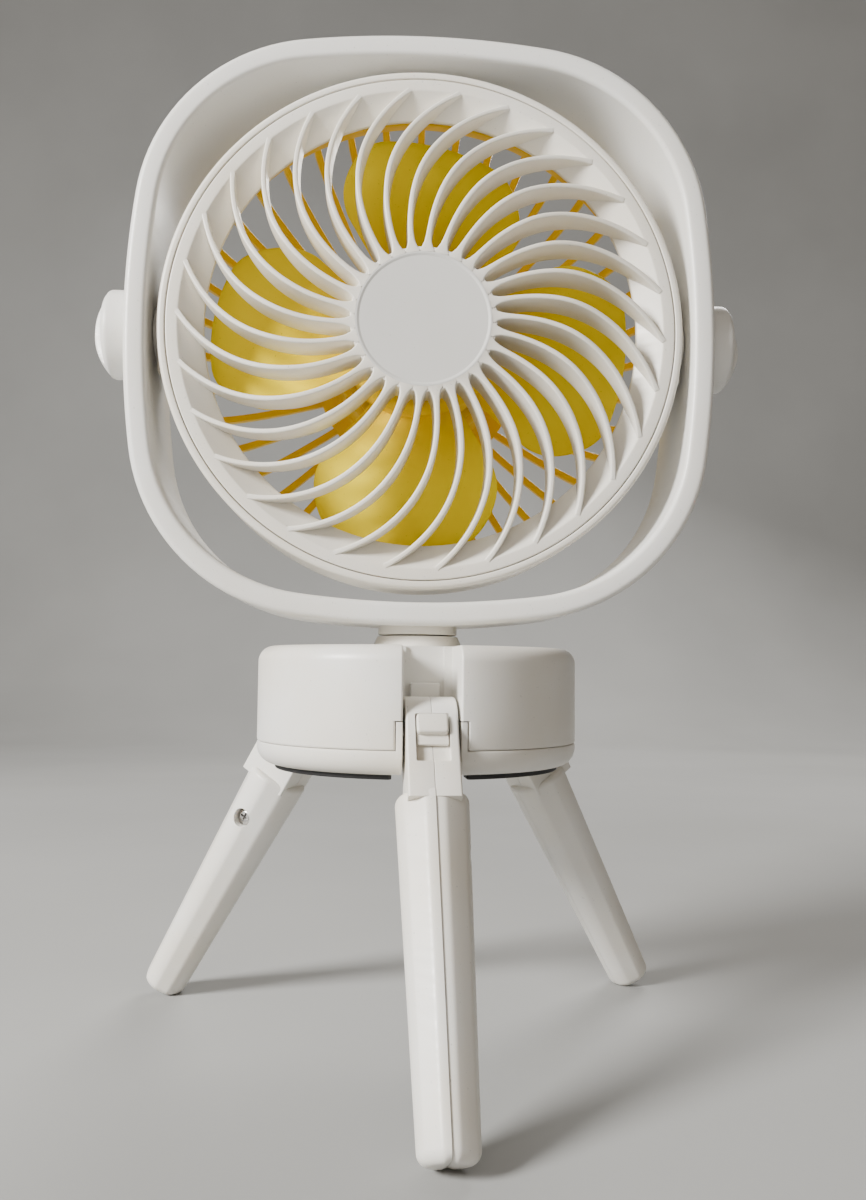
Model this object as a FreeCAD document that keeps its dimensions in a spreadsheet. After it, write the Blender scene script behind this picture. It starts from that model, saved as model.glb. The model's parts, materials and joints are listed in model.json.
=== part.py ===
import FreeCAD, Part
import math
import os
import re
import Sketcher
from FreeCAD import Placement, Rotation, Vector

# Handheld electric fan: a round fan head that tilts inside a rounded square yoke, on a drum-shaped
# battery base with three folding legs.  Origin on the ground under the swivel axis, +Z up,
# the fan blows towards -Y.  Millimetres and degrees.

doc = FreeCAD.newDocument("TripodFan")

SIZES = {
    # how far pieces that are fused run into each other
    "overlap": 0.1,
    # yoke
    "yoke_width": 155, "yoke_height": 157, "yoke_depth": 33, "yoke_wall": 5.9, "yoke_skin": 1.7,
    "yoke_side_radius": 250, "yoke_corner_radius": 49.8, "yoke_cover": 2.2, "yoke_edge": 1.2,
    "tilt_height": 185.5,
    # fan head, measured from the tilt axis, forwards positive
    "head_radius": 69.1, "head_front": 15, "head_back": -8, "head_wall": 2.9, "lip_radius": 67.05,
    "ring_radius": 66.9, "ring_inner": 63.8, "ring_back": 12.2, "mouth_radius": 57.5, "mouth_depth": 10.9,
    "mouth_lip": 1.6, "hub_radius": 19, "hub_front": 20.8, "hub_back": 11, "hub_wall": 1.8,
    "hub_floor": 2, "cap_radius": 18.1, "cap_front": 21, "cap_thick": 1.75, "cap_gap": 0.15,
    "cap_recess": 1.6, "cap_chamfer": 0.4, "vane_count": 30, "vane_thick": 1.6, "vane_start": 18.6,
    "vane_end": 63.4, "vane_kink": 40, "vane_phase": 2.4, "vane_drift": 1.74, "vane_sweep": 1.2,
    "pad_reach": 69.9, "pad_root": 66.5, "pad_tall": 25, "pad_deep": 18,
    # rear guard: an elliptical dome of bars around a cup that carries the motor
    "dome_radius": 66, "dome_front": -5, "dome_depth": 30, "guard_thick": 2.4, "guard_ring_inner": 64.9,
    "guard_ring_outer": 66.1, "plate_radius": 30, "bar_count": 40, "bar_width": 2, "boss_radius": 24,
    "boss_front": -14, "boss_floor": 2.5, "bay_radius": 22, "lid_radius": 21.7, "lid_deep": 5.1,
    "lid_proud": 2.5, "lid_wall": 1.6, "lid_slope": 1.4,
    # side pivots
    "pivot_radius": 3, "running_gap": 0.05, "clear_gap": 0.3, "bush_wall": 1.5, "washer_radius": 8,
    "washer_thick": 1.1, "pivot_boss_wall": 1.7, "pivot_boss_long": 6.5, "shoulder_proud": 1.5,
    "tilt_head_radius": 5, "tilt_head_thick": 2.5, "knob_radius": 11.9, "knob_base": 77.9,
    "knob_tall": 10, "knob_round": 3.6, "knob_socket": 5.4, "knob_socket_deep": 4.2,
    # motor
    "bearing_radius": 3, "bearing_long": 2.6, "sleeve_radius": 4.2, "sleeve_front": -2.2,
    "mount_front": -12.6, "shaft_radius": 1.5, "shaft_front": 3.6, "shaft_back": -13.6,
    "core_radius": 15.2, "core_back": -8, "core_front": -3, "slot_count": 9, "slot_inner": 8,
    "slot_outer": 13.5, "slot_wide": 4.4, "slot_mouth_wide": 1.2, "coil_inner": 8.4, "coil_outer": 13.2,
    "coil_wide": 4.8, "coil_back": -9.3, "coil_front": -1.7, "motor_board_radius": 16,
    "motor_board_thick": 1.2, "motor_screw_count": 3, "motor_screw_reach": 19, "motor_screw_radius": 1.2,
    "motor_head_radius": 2.2, "motor_head_thick": 1.4, "bell_radius": 18.4, "bell_front": 1.2,
    "bell_back": -9.4, "bell_wall": 1, "bell_hole": 3.6, "magnet_front": 0, "magnet_back": -9,
    "magnet_thick": 1.8,
    # impeller
    "blade_count": 4, "blade_radius": 57.5, "blade_thick": 1.5, "blade_pitch": 15, "blade_plane": -3,
    "blade_phase": 5, "blade_root": 17.5, "tip_half_angle": 31, "root_half_angle": 44,
    "blade_corner": 12, "spinner_radius": 20.5, "spinner_front": 4, "spinner_slope": 2.5,
    "spinner_back": -9.5, "spinner_wall": 1.6, "spinner_skin": 2.7, "grip_radius": 3.5,
    "grip_back": -1.5,
    # swivel neck
    "neck_radius": 10.6, "flange_radius": 12.1, "collar_bottom": 104.8, "collar_top": 107,
    "socket_top": 112.6, "socket_wall": 2.5, "flange_top": 104.5, "flange_bottom": 97,
    "flange_neck": 8, "bolt_radius": 2.5, "bolt_head_radius": 5, "bolt_bottom": 93,
    "bolt_shoulder": 95.2, "bolt_top": 111, "swivel_washer_radius": 6.5, "swivel_washer_top": 96.7,
    # base drum
    "drum_radius": 42.3, "drum_top": 101.5, "drum_parting": 76.9, "drum_bottom": 71, "drum_wall": 1.8,
    "drum_floor": 2, "drum_round": 4, "drum_under_round": 4.6, "slot_half": 6.8, "slot_depth": 22,
    "slot_wall": 1.5, "guide_thick": 0.9, "guide_wide": 2, "ear_top": 83.6, "ear_inner": 28,
    "ear_gap": 0.15, "stop_half": 3.65, "stop_front": 23.6, "stop_top": 92.4, "shoe_radius": 37.6,
    "shoe_inner": 31, "shoe_thick": 1.2, "shoe_gap": 8.8, "thread_radius": 1.3, "screw_reach": 36.5,
    "screw_boss_radius": 4.2, "screw_boss_top": 79.5, "thread_top": 78.2, "bottom_head_radius": 2.4,
    "bottom_head_thick": 1.5, "base_turn": 3,
    # inside the drum
    "cell_radius": 9.1, "cell_half": 24.9, "cell_front": 10.3, "cell_height": 82.4,
    "board_half": 12.5, "board_front": 14, "board_back": 36, "board_height": 80, "board_thick": 1.6,
    "upright_half": 8, "upright_front": 32, "upright_thick": 1.4, "upright_top": 98, "post_radius": 2,
    "post_wide": 9, "post_front": 18, "post_narrow": 7, "post_back": 33, "port_half": 4.5,
    "port_low": 81.6, "port_high": 84.8, "port_wall": 0.3, "port_front": 34, "port_back": 41.6,
    "port_floor": 1.5, "port_gap": 0.2, "wall_inside": 36, "wall_outside": 46, "button_height": 93,
    "button_radius": 4, "button_back": 43.2, "button_front": 38.6, "button_flange": 5.2,
    "button_flange_thick": 1.2, "switch_half": 3, "switch_deep": 4, "light_reach": 9,
    "light_radius": 1, "light_front": 36.5, "light_back": 41.3,
    # legs
    "leg_count": 3, "leg_splay": 31.5, "hinge_reach": 33.7, "barrel_radius": 8.6, "neck_half": 6.1,
    "neck_length": 17.4, "neck_end": 24, "neck_back": 6.5, "leg_length": 91.9,
    "shank_top_radius": 8.5, "foot_radius": 6.15, "foot_round": 2.5, "foot_floor": 3.4, "leg_wall": 2,
    "hollow_top": 26, "flat_reach": 7.9, "flat_turn": 60, "flat_lean": 1.5, "pin_radius": 1.5,
    "pin_short": 0.1, "window_half": 4, "window_top": 0.6, "window_bottom": 11.5, "window_floor": 6.6,
    "leg_screw_drop": 31.4, "thread_room": 0.4, "leg_thread_radius": 1.1, "leg_thread_end": 4.6,
    "leg_head_radius": 2.2, "leg_head_low": 4.5, "leg_head_high": 6, "counterbore_radius": 2.6,
    "leg_post_radius": 3.7, "leg_post_half": 6.8, "latch_half": 3.7, "latch_back": 6.9, "latch_step": 7.7,
    "latch_front": 9.5, "latch_top": 0.3, "latch_plate_drop": 7.2, "latch_button_drop": 4.7,
}
FAR = 120        # further than any solid reaches, for cuts that go right through

# The pin height puts the rounded edge of every foot on the ground.
splay = math.radians(SIZES["leg_splay"])
SIZES["hinge_height"] = round(math.cos(splay) * (SIZES["leg_length"] - SIZES["foot_round"])
                              + math.sin(splay) * (SIZES["foot_radius"] - SIZES["foot_round"])
                              + SIZES["foot_round"], 3)

sheet = doc.addObject("Spreadsheet::Sheet", "Sizes")
for row, (alias, value) in enumerate(SIZES.items(), start=1):
    sheet.set("A%d" % row, alias)
    sheet.set("B%d" % row, str(value))
    sheet.setAlias("B%d" % row, alias)
doc.recompute()

FORWARD = Rotation(Vector(1, 0, 0), 90)      # local +Z becomes -Y, local +Y becomes +Z
HEAD = Placement(Vector(0, 0, sheet.tilt_height), FORWARD)
YOKE = Placement(Vector(0, 0, sheet.tilt_height), Rotation())
BASE = Placement(Vector(), Rotation(Vector(0, 0, 1), sheet.base_turn))
LEG_TURNS = [sheet.base_turn + 360 * k / sheet.leg_count for k in range(int(sheet.leg_count))]
nodes = []


def formula(text):
    """Expression text in which every size name points at its cell."""
    return re.sub(r"[a-z][a-z_]+", lambda m: "Sizes." + m[0] if m[0] in SIZES else m[0], str(text))


def bind(obj, **fields):
    for field, text in fields.items():
        obj.setExpression(field.replace("__", "."), formula(text))
    return obj


def node(obj, label, placement=Placement()):
    """Name a finished sub-part and put it in its place; a Part solid stays usable where it was made."""
    if obj.TypeId != "PartDesign::Body":
        obj.Label = label + "_solid"
        made, obj = obj, doc.addObject("Part::Compound", label)
        obj.Links = [made]
    obj.Label = label
    obj.Placement = placement
    nodes.append(obj)


def solid(kind, name, **fields):
    return bind(doc.addObject("Part::" + kind, name), **fields)


def block(name, low, high):
    """A box between two corners, each a list of three formulas."""
    sides = ["(%s) - (%s)" % (b, a) for a, b in zip(low, high)]
    return solid("Box", name, Length=sides[0], Width=sides[1], Height=sides[2],
                 Placement__Base__x=low[0], Placement__Base__y=low[1], Placement__Base__z=low[2])


def rod(name, radius, low, high, axis="z", at=(0, 0)):
    """A cylinder along an axis, from low to high; at holds its other two coordinates."""
    turn = {"x": Rotation(Vector(0, 1, 0), 90), "y": Rotation(Vector(1, 0, 0), -90),
            "z": Rotation()}[axis]
    obj = solid("Cylinder", name, Radius=radius, Height="(%s) - (%s)" % (high, low))
    obj.Placement = Placement(Vector(), turn)
    others = [a for a in "xyz" if a != axis]
    places = {axis: low, others[0]: at[0], others[1]: at[1]}
    return bind(obj, **{"Placement__Base__" + a: text for a, text in places.items()})


def joined(name, pieces):
    obj = doc.addObject("Part::MultiFuse", name)
    obj.Shapes = pieces
    return obj


def cut(name, base, tools):
    obj = doc.addObject("Part::Cut", name)
    obj.Base = base
    obj.Tool = tools[0] if len(tools) == 1 else joined(name + "_tools", tools)
    return obj


def shared(name, base, tool):
    obj = doc.addObject("Part::Common", name)
    obj.Base = base
    obj.Tool = tool
    return obj


def repeated(name, piece, count_name, start=0):
    """The same piece turned about Z, as often as the size of that name says, as one fused object."""
    count = int(sheet.get(count_name))
    copies = []
    for k in range(count):
        link = doc.addObject("Part::Compound", "%s_%d" % (name, k))
        link.Links = [piece]
        link.Placement = Placement(Vector(), Rotation(Vector(0, 0, 1), start + k * 360 / count))
        copies.append(link)
    return joined(name, copies)


def on_both_sides(name, low, high):
    """A box given on the +X side and its mirror image on the -X side."""
    return [block(name + "_right", low, high),
            block(name + "_left", ["-(%s)" % high[0]] + low[1:], ["-(%s)" % low[0]] + high[1:])]


def new_body(name):
    return doc.addObject("PartDesign::Body", name)


def new_sketch(body, role, name):
    sketch = body.newObject("Sketcher::SketchObject", name)
    plane = next(f for f in body.Origin.OriginFeatures if f.Role == role)
    sketch.AttachmentSupport = (plane, [""])
    sketch.MapMode = "FlatFace"
    return sketch


def add_lines(sketch, points):
    """Straight edges from each point to the next."""
    for first, last in zip(points, points[1:]):
        sketch.addGeometry(Part.LineSegment(first, last))


def polygon(body, role, name, points):
    """A closed outline of straight edges whose corners are all bound to formulas."""
    sketch = new_sketch(body, role, name)
    count = len(points)
    spread = sheet.drum_radius               # the corners start on a circle and are then bound
    start = [Vector(spread * math.cos(2 * math.pi * k / count), spread * math.sin(2 * math.pi * k / count), 0)
             for k in range(count)]
    add_lines(sketch, start + start[:1])
    for k in range(count):
        sketch.addConstraint(Sketcher.Constraint("Coincident", k, 2, (k + 1) % count, 1))
    for k, point in enumerate(points):
        for kind, value, text in (("DistanceX", start[k].x, point[0]), ("DistanceY", start[k].y, point[1])):
            index = sketch.addConstraint(Sketcher.Constraint(kind, -1, 1, k, 1, value))
            sketch.setExpression("Constraints[%d]" % index, formula(text))
    return sketch


def turn_about_axis(body, sketch, name, kind="Revolution"):
    feature = body.newObject("PartDesign::" + kind, name)
    feature.Profile = sketch
    feature.ReferenceAxis = (sketch, ["V_Axis"])
    feature.Angle = 360
    return feature


def revolved(body, name, points, kind="Revolution"):
    """Turn an outline of (radius, height) corners about the body's Z axis."""
    sketch = polygon(body, "XZ_Plane", name + "_outline", points)
    return turn_about_axis(body, sketch, name, kind)


def turned(label, points, placement=Placement()):
    body = new_body(label)
    revolved(body, label + "_turned", points)
    node(body, label, placement)


def rounded(body, name, radius, wanted):
    """Fillet those edges of a body's last feature that the test accepts."""
    doc.recompute()
    base = body.Tip
    picks = ["Edge%d" % k for k, edge in enumerate(base.Shape.Edges, start=1) if wanted(edge)]
    feature = body.newObject("PartDesign::Fillet", name)
    feature.Base = (base, picks)
    return bind(feature, Radius=radius)


def rim_at(height):
    """A test for the circular edges that lie at one height."""
    return lambda edge: max(abs(edge.BoundBox.ZMin - height), abs(edge.BoundBox.ZMax - height)) < 1e-4


def polar(body, name, feature, count):
    pattern = body.newObject("PartDesign::PolarPattern", name)
    pattern.Originals = [feature]
    axis = next(f for f in body.Origin.OriginFeatures if f.Role == "Z_Axis")
    pattern.Axis = (axis, [""])
    pattern.Angle = 360
    pattern.setExpression("Occurrences", formula(count))
    body.Tip = pattern
    return pattern


# ---------------------------------------------------------------- yoke

def rounded_square(inset):
    """Eight tangent arcs: four bulged sides and four large corners, moved in by inset."""
    side, corner = sheet.yoke_side_radius, sheet.yoke_corner_radius
    side_x = sheet.yoke_width / 2 - side
    top_y = sheet.yoke_height / 2 - side
    half = math.hypot(side_x, top_y) / 2
    rise = math.sqrt((side - corner) ** 2 - half ** 2)
    corner_x = side_x / 2 - rise * top_y / (2 * half)
    corner_y = top_y / 2 - rise * side_x / (2 * half)
    low = math.atan2(corner_y, corner_x - side_x)
    high = math.atan2(corner_y - top_y, corner_x)
    turn = math.pi
    arcs = [(side_x, 0, side, -low, low), (corner_x, corner_y, corner, low, high),
            (0, top_y, side, high, turn - high), (-corner_x, corner_y, corner, turn - high, turn - low),
            (-side_x, 0, side, turn - low, turn + low),
            (-corner_x, -corner_y, corner, turn + low, turn + high),
            (0, -top_y, side, turn + high, 2 * turn - high),
            (corner_x, -corner_y, corner, 2 * turn - high, 2 * turn - low)]
    return [Part.ArcOfCircle(Part.Circle(Vector(x, y, 0), Vector(0, 0, 1), radius - inset), start, stop)
            for x, y, radius, start, stop in arcs]


def yoke_ring(name, outer_inset, inner_inset, back, front):
    """A flat ring of the yoke's outline, between two depths measured backwards from its middle."""
    body = new_body(name)
    sketch = new_sketch(body, "XZ_Plane", name + "_outline")
    sketch.AttachmentOffset = Placement(Vector(0, 0, -back), Rotation())
    for inset in (outer_inset, inner_inset):
        sketch.addGeometry(rounded_square(inset))
    feature = body.newObject("PartDesign::Pad", name + "_pad")
    feature.Profile = sketch
    feature.Length = back - front
    return body


def mirrored_rods(name, radius, near, far):
    """The same rod on both sides of the head, along X, between two distances from the middle."""
    return [rod(name + "_right", radius, near, far, "x"),
            rod(name + "_left", radius, "-(%s)" % far, "-(%s)" % near, "x")]


def across(name, radius):
    """A rod along X, longer than the yoke is wide, for boring both of its sides."""
    return rod(name, radius, "-yoke_width", "yoke_width", "x")


depth, wall, skin = sheet.yoke_depth / 2, sheet.yoke_wall, sheet.yoke_skin
joint_plane = depth - sheet.yoke_cover
ring = yoke_ring("yoke_ring", 0, wall, joint_plane, -depth)
rounded(ring, "soft_rim", "yoke_edge", lambda edge: edge.BoundBox.YMax < sheet.overlap - depth)
channel = yoke_ring("wire_channel", skin, wall - skin, joint_plane + sheet.overlap, skin - depth)
neck_bore = rod("neck_bore", "bolt_radius + socket_wall", "-yoke_height", 0)
node(cut("yoke_front_shell", ring, [channel, across("side_bores", "pivot_radius + bush_wall"), neck_bore]),
     "yoke_front_shell", YOKE)
node(yoke_ring("yoke_back_cover", 0, wall, depth, joint_plane), "yoke_back_cover", YOKE)

INSIDE, OUTSIDE = "yoke_width / 2 - yoke_wall", "yoke_width / 2"
bush_rods = mirrored_rods("bush", "pivot_radius + bush_wall", INSIDE, OUTSIDE)
node(cut("pivot_bushes", joined("bush_rods", bush_rods),
         [across("bush_bores", "pivot_radius + running_gap")]), "pivot_bushes", YOKE)
washer_rods = mirrored_rods("washer", "washer_radius", INSIDE + " - clear_gap - washer_thick",
                            INSIDE + " - clear_gap")
node(cut("friction_washers", joined("washer_rods", washer_rods),
         [across("washer_bores", "pivot_radius + clear_gap")]), "friction_washers", YOKE)

# ---------------------------------------------------------------- fan head: housing and front guard

housing = new_body("housing_tube")
revolved(housing, "housing_turned",
         [("lip_radius", "head_front"), ("head_radius", "head_front"), ("head_radius", "head_back"),
          ("head_radius - head_wall", "head_back"), ("head_radius - head_wall", "ring_back - 2 * overlap"),
          ("lip_radius", "ring_back - 2 * overlap")])
pads = on_both_sides("pad", ["pad_root", "-pad_tall / 2", "-pad_deep / 2"],
                     ["pad_reach", "pad_tall / 2", "pad_deep / 2"])
pivot_bosses = mirrored_rods("pivot_boss", "pivot_radius + pivot_boss_wall",
                             "head_radius - 1 - pivot_boss_long", "head_radius - 1")
node(cut("head_housing", joined("housing_solid", [housing] + pads + pivot_bosses),
         [across("tilt_screw_bore", "pivot_radius")]), "head_housing", HEAD)

guard = new_body("front_guard")
revolved(guard, "guard_cone",
         [("ring_radius", "head_front"), ("ring_inner", "head_front"), ("mouth_radius", "mouth_depth"),
          ("mouth_radius", "mouth_depth - mouth_lip"), ("ring_inner", "ring_back"),
          ("ring_radius", "ring_back")])
VANE_RADII = (sheet.vane_start, sheet.vane_kink, sheet.vane_end)


def on_vane(radius):
    """A point of a vane's middle line, which curves clockwise faster as it goes out."""
    step = (radius - sheet.hub_radius) / 10
    angle = math.radians(sheet.vane_phase + sheet.vane_drift * step + sheet.vane_sweep * step ** 2)
    return Vector(radius * math.sin(angle), radius * math.cos(angle), 0)


def vane_outline(sketch):
    """A band of constant thickness on the circle through three points of the vane."""
    middle_line = Part.Arc(*[on_vane(r) for r in VANE_RADII]).toShape().Curve
    centre, radius = middle_line.Center, middle_line.Radius
    half = sheet.vane_thick / 2
    sides = []
    for offset in (-half, half):
        ends = [centre + (on_vane(r) - centre).normalize() * (radius + offset) for r in VANE_RADII]
        sides.append(ends)
        sketch.addGeometry(Part.Arc(*ends))
    for first, last in ((sides[0][0], sides[1][0]), (sides[0][2], sides[1][2])):
        add_lines(sketch, [first, last])


vane_sketch = new_sketch(guard, "XY_Plane", "vane_outline")
bind(vane_sketch, AttachmentOffset__Base__z="hub_back")
vane_outline(vane_sketch)
vane = guard.newObject("PartDesign::Pad", "vane")
vane.Profile = vane_sketch
bind(vane, Length="cap_front - hub_back")
polar(guard, "vanes", vane, "vane_count")
revolved(guard, "vane_slope",
         [("vane_kink", "cap_front"), ("ring_inner", "head_front + overlap"),
          ("ring_radius", "head_front + overlap"), ("ring_radius", "cap_front + 1"),
          ("vane_kink", "cap_front + 1")], "Groove")
CUP, FLOOR = "hub_front - cap_recess", "hub_front - cap_recess - hub_floor"
revolved(guard, "guard_hub",
         [(0, FLOOR), (0, CUP), ("cap_radius + cap_gap", CUP), ("cap_radius + cap_gap", "hub_front"),
          ("hub_radius", "hub_front"), ("hub_radius", "hub_back"), ("hub_radius - hub_wall", "hub_back"),
          ("hub_radius - hub_wall", FLOOR)])
node(guard, "front_guard", HEAD)

turned("hub_cap", [(0, "cap_front - cap_thick"), ("cap_radius", "cap_front - cap_thick"),
                   ("cap_radius", "cap_front - cap_chamfer"), ("cap_radius - cap_chamfer", "cap_front"),
                   (0, "cap_front")], HEAD)

# ---------------------------------------------------------------- fan head: rear guard and its cover


def dome_arc(extra, first, last):
    """Three points, as radius and height, on the dome's ellipse made larger by extra."""
    wide, deep = sheet.dome_radius + extra, sheet.dome_depth + extra
    start, stop = math.acos(first / wide), math.acos(last / wide)
    return [Vector(wide * math.cos(angle), sheet.dome_front - deep * math.sin(angle), 0)
            for angle in (start, (start + stop) / 2, stop)]


rear = new_body("rear_frame")
dome_sketch = new_sketch(rear, "XZ_Plane", "dome_outline")
inner_arc = dome_arc(0, sheet.guard_ring_inner, sheet.plate_radius)
outer_arc = dome_arc(sheet.guard_thick, sheet.guard_ring_outer, sheet.plate_radius)
boss_inside = sheet.boss_front - sheet.boss_floor
add_lines(dome_sketch, [outer_arc[2], Vector(sheet.bay_radius, outer_arc[2].y, 0),
                        Vector(sheet.bay_radius, boss_inside, 0), Vector(0, boss_inside, 0),
                        Vector(0, sheet.boss_front, 0), Vector(sheet.boss_radius, sheet.boss_front, 0),
                        Vector(sheet.boss_radius, inner_arc[2].y, 0), inner_arc[2]])
add_lines(dome_sketch, [inner_arc[0], Vector(sheet.guard_ring_inner, sheet.dome_front, 0),
                        Vector(sheet.guard_ring_outer, sheet.dome_front, 0), outer_arc[0]])
for arc in (inner_arc, outer_arc):
    dome_sketch.addGeometry(Part.Arc(*arc))
turn_about_axis(rear, dome_sketch, "rear_dome")

gap_sketch = new_sketch(rear, "XY_Plane", "gap_outline")
gap_corners = []
for radius, side in ((sheet.plate_radius, -1), (sheet.guard_ring_inner, -1), (sheet.guard_ring_inner, 1),
                     (sheet.plate_radius, 1)):
    angle = side * (math.pi / sheet.bar_count - math.asin(sheet.bar_width / 2 / radius))
    gap_corners.append(Vector(radius * math.cos(angle), radius * math.sin(angle), 0))
add_lines(gap_sketch, gap_corners + gap_corners[:1])
gap_sketch.AttachmentOffset = Placement(Vector(), Rotation(Vector(0, 0, 1), 180 / sheet.bar_count))
gap = rear.newObject("PartDesign::Pocket", "gap")
gap.Profile = gap_sketch
gap.Midplane = True
gap.Length = FAR
polar(rear, "gaps", gap, "bar_count")
SCREW_CIRCLE = ("motor_screw_reach", 0)
motor_hole = rod("motor_hole", "motor_screw_radius", -FAR / 4, 0, at=SCREW_CIRCLE)
motor_holes = repeated("motor_holes", motor_hole, "motor_screw_count")
node(cut("rear_guard", rear, [motor_holes]), "rear_guard", HEAD)

LID_BACK = "dome_front - dome_depth - lid_proud"
LID_EDGE, LID_INSIDE = LID_BACK + " + lid_deep", LID_BACK + " + lid_wall"
turned("motor_cover", [(0, LID_BACK), ("lid_radius - lid_slope", LID_BACK),
                       ("lid_radius", LID_BACK + " + lid_slope"), ("lid_radius", LID_EDGE),
                       ("lid_radius - lid_wall", LID_EDGE), ("lid_radius - lid_wall", LID_INSIDE),
                       (0, LID_INSIDE)], HEAD)

# ---------------------------------------------------------------- tilt screws and knobs

SEAT = "yoke_width / 2 + shoulder_proud"
shoulder = mirrored_rods("shoulder", "pivot_radius", "head_radius - 1 - pivot_boss_long", SEAT)
screw_heads = mirrored_rods("screw_head", "tilt_head_radius", SEAT, SEAT + " + tilt_head_thick")
node(joined("tilt_screws", shoulder + screw_heads), "tilt_screws", HEAD)

for side, turn in (("left", -90), ("right", 90)):
    knob = new_body("tilt_knob_" + side)
    revolved(knob, "knob_turned_" + side,
             [("knob_socket", 0), ("knob_radius", 0), ("knob_radius", "knob_tall"), (0, "knob_tall"),
              (0, "knob_socket_deep"), ("knob_socket", "knob_socket_deep")])
    rounded(knob, "knob_rim_" + side, "knob_round", rim_at(sheet.knob_tall))
    rotation = Rotation(Vector(0, 1, 0), turn)
    base = rotation.multVec(Vector(0, 0, sheet.knob_base)) + Vector(0, 0, sheet.tilt_height)
    node(knob, "tilt_knob_" + side, Placement(base, rotation))

# ---------------------------------------------------------------- motor

motor_tube = new_body("motor_tube")
revolved(motor_tube, "motor_tube_turned",
         [("bearing_radius", "sleeve_front"), ("sleeve_radius", "sleeve_front"),
          ("sleeve_radius", "mount_front"), ("bay_radius", "mount_front"), ("bay_radius", "boss_front"),
          ("bearing_radius", "boss_front")])
node(cut("motor_base", motor_tube, [motor_holes]), "motor_base", HEAD)
bearing_front = rod("bearing_front", "bearing_radius", "core_front - bearing_long", "core_front")
bearing_rear = rod("bearing_rear", "bearing_radius", "shaft_back", "shaft_back + bearing_long")
bearing_bore = rod("bearing_bore", "shaft_radius + running_gap", "-spinner_radius", "spinner_radius")
node(cut("motor_bearings", joined("bearing_rings", [bearing_front, bearing_rear]), [bearing_bore]),
     "motor_bearings", HEAD)
slot_room = block("slot_room", ["slot_inner", "-slot_wide / 2", "mount_front"],
                  ["slot_outer", "slot_wide / 2", 0])
slot_mouth = block("slot_mouth", ["slot_outer - overlap", "-slot_mouth_wide / 2", "mount_front"],
                   ["bell_radius", "slot_mouth_wide / 2", 0])
slot_pair = joined("stator_slot", [slot_room, slot_mouth])
core_blank = cut("core_blank", rod("core_rod", "core_radius", "core_back", "core_front"),
                 [rod("core_bore", "sleeve_radius", "mount_front", 0)])
core = cut("stator_core", core_blank, [repeated("stator_slots", slot_pair, "slot_count")])
node(core, "stator_core", HEAD)
coil_block = block("coil_block", ["coil_inner", "-coil_wide / 2", "coil_back"],
                   ["coil_outer", "coil_wide / 2", "coil_front"])
coil_blocks = repeated("coil_blocks", coil_block, "slot_count", start=180 / sheet.slot_count)
node(cut("stator_coils", coil_blocks, [core]), "stator_coils", HEAD)
board_disc = rod("board_disc", "motor_board_radius", "mount_front + overlap",
                 "mount_front + overlap + motor_board_thick")
board_bore = rod("board_bore", "sleeve_radius + 2 * overlap", "boss_front", "core_back")
node(cut("motor_board", board_disc, [board_bore]), "motor_board", HEAD)
motor_thread = rod("motor_thread", "motor_screw_radius", "boss_front - 2", "mount_front", at=SCREW_CIRCLE)
motor_head = rod("motor_screw_head", "motor_head_radius", "mount_front", "mount_front + motor_head_thick",
                 at=SCREW_CIRCLE)
motor_screw = joined("motor_screw", [motor_thread, motor_head])
node(repeated("motor_screws", motor_screw, "motor_screw_count"), "motor_screws", HEAD)

# ---------------------------------------------------------------- turning pieces

spinner = new_body("spinner")
revolved(spinner, "spinner_turned",
         [("shaft_radius", "spinner_front"), ("spinner_radius - spinner_slope", "spinner_front"),
          ("spinner_radius", "spinner_front - 2"), ("spinner_radius", "spinner_back"),
          ("spinner_radius - spinner_wall", "spinner_back"),
          ("spinner_radius - spinner_wall", "spinner_front - spinner_skin"),
          ("grip_radius", "spinner_front - spinner_skin"), ("grip_radius", "grip_back"),
          ("shaft_radius", "grip_back")])
petal = new_body("petal")
petal_sketch = new_sketch(petal, "XY_Plane", "petal_outline")
tip, root = sheet.blade_radius, sheet.blade_root
tip_angle, root_angle = math.radians(sheet.tip_half_angle), math.radians(sheet.root_half_angle)
petal_sketch.addGeometry(Part.ArcOfCircle(Part.Circle(Vector(), Vector(0, 0, 1), tip), -tip_angle, tip_angle))
tips = [Vector(tip * math.cos(tip_angle), side * tip * math.sin(tip_angle), 0) for side in (1, -1)]
roots = [Vector(root * math.cos(root_angle), side * root * math.sin(root_angle), 0) for side in (1, -1)]
add_lines(petal_sketch, [tips[0], roots[0], roots[1], tips[1]])
petal_pad = petal.newObject("PartDesign::Pad", "petal_pad")
petal_pad.Profile = petal_sketch
petal_pad.Midplane = True
petal_pad.Length = FAR / 2


def at_blade_tip(edge):
    """A test for the two long straight edges at the outer corners of a blade."""
    outside = all(math.hypot(v.X, v.Y) > tip - sheet.overlap for v in edge.Vertexes)
    return outside and edge.Length > FAR / 2 - 1


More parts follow.
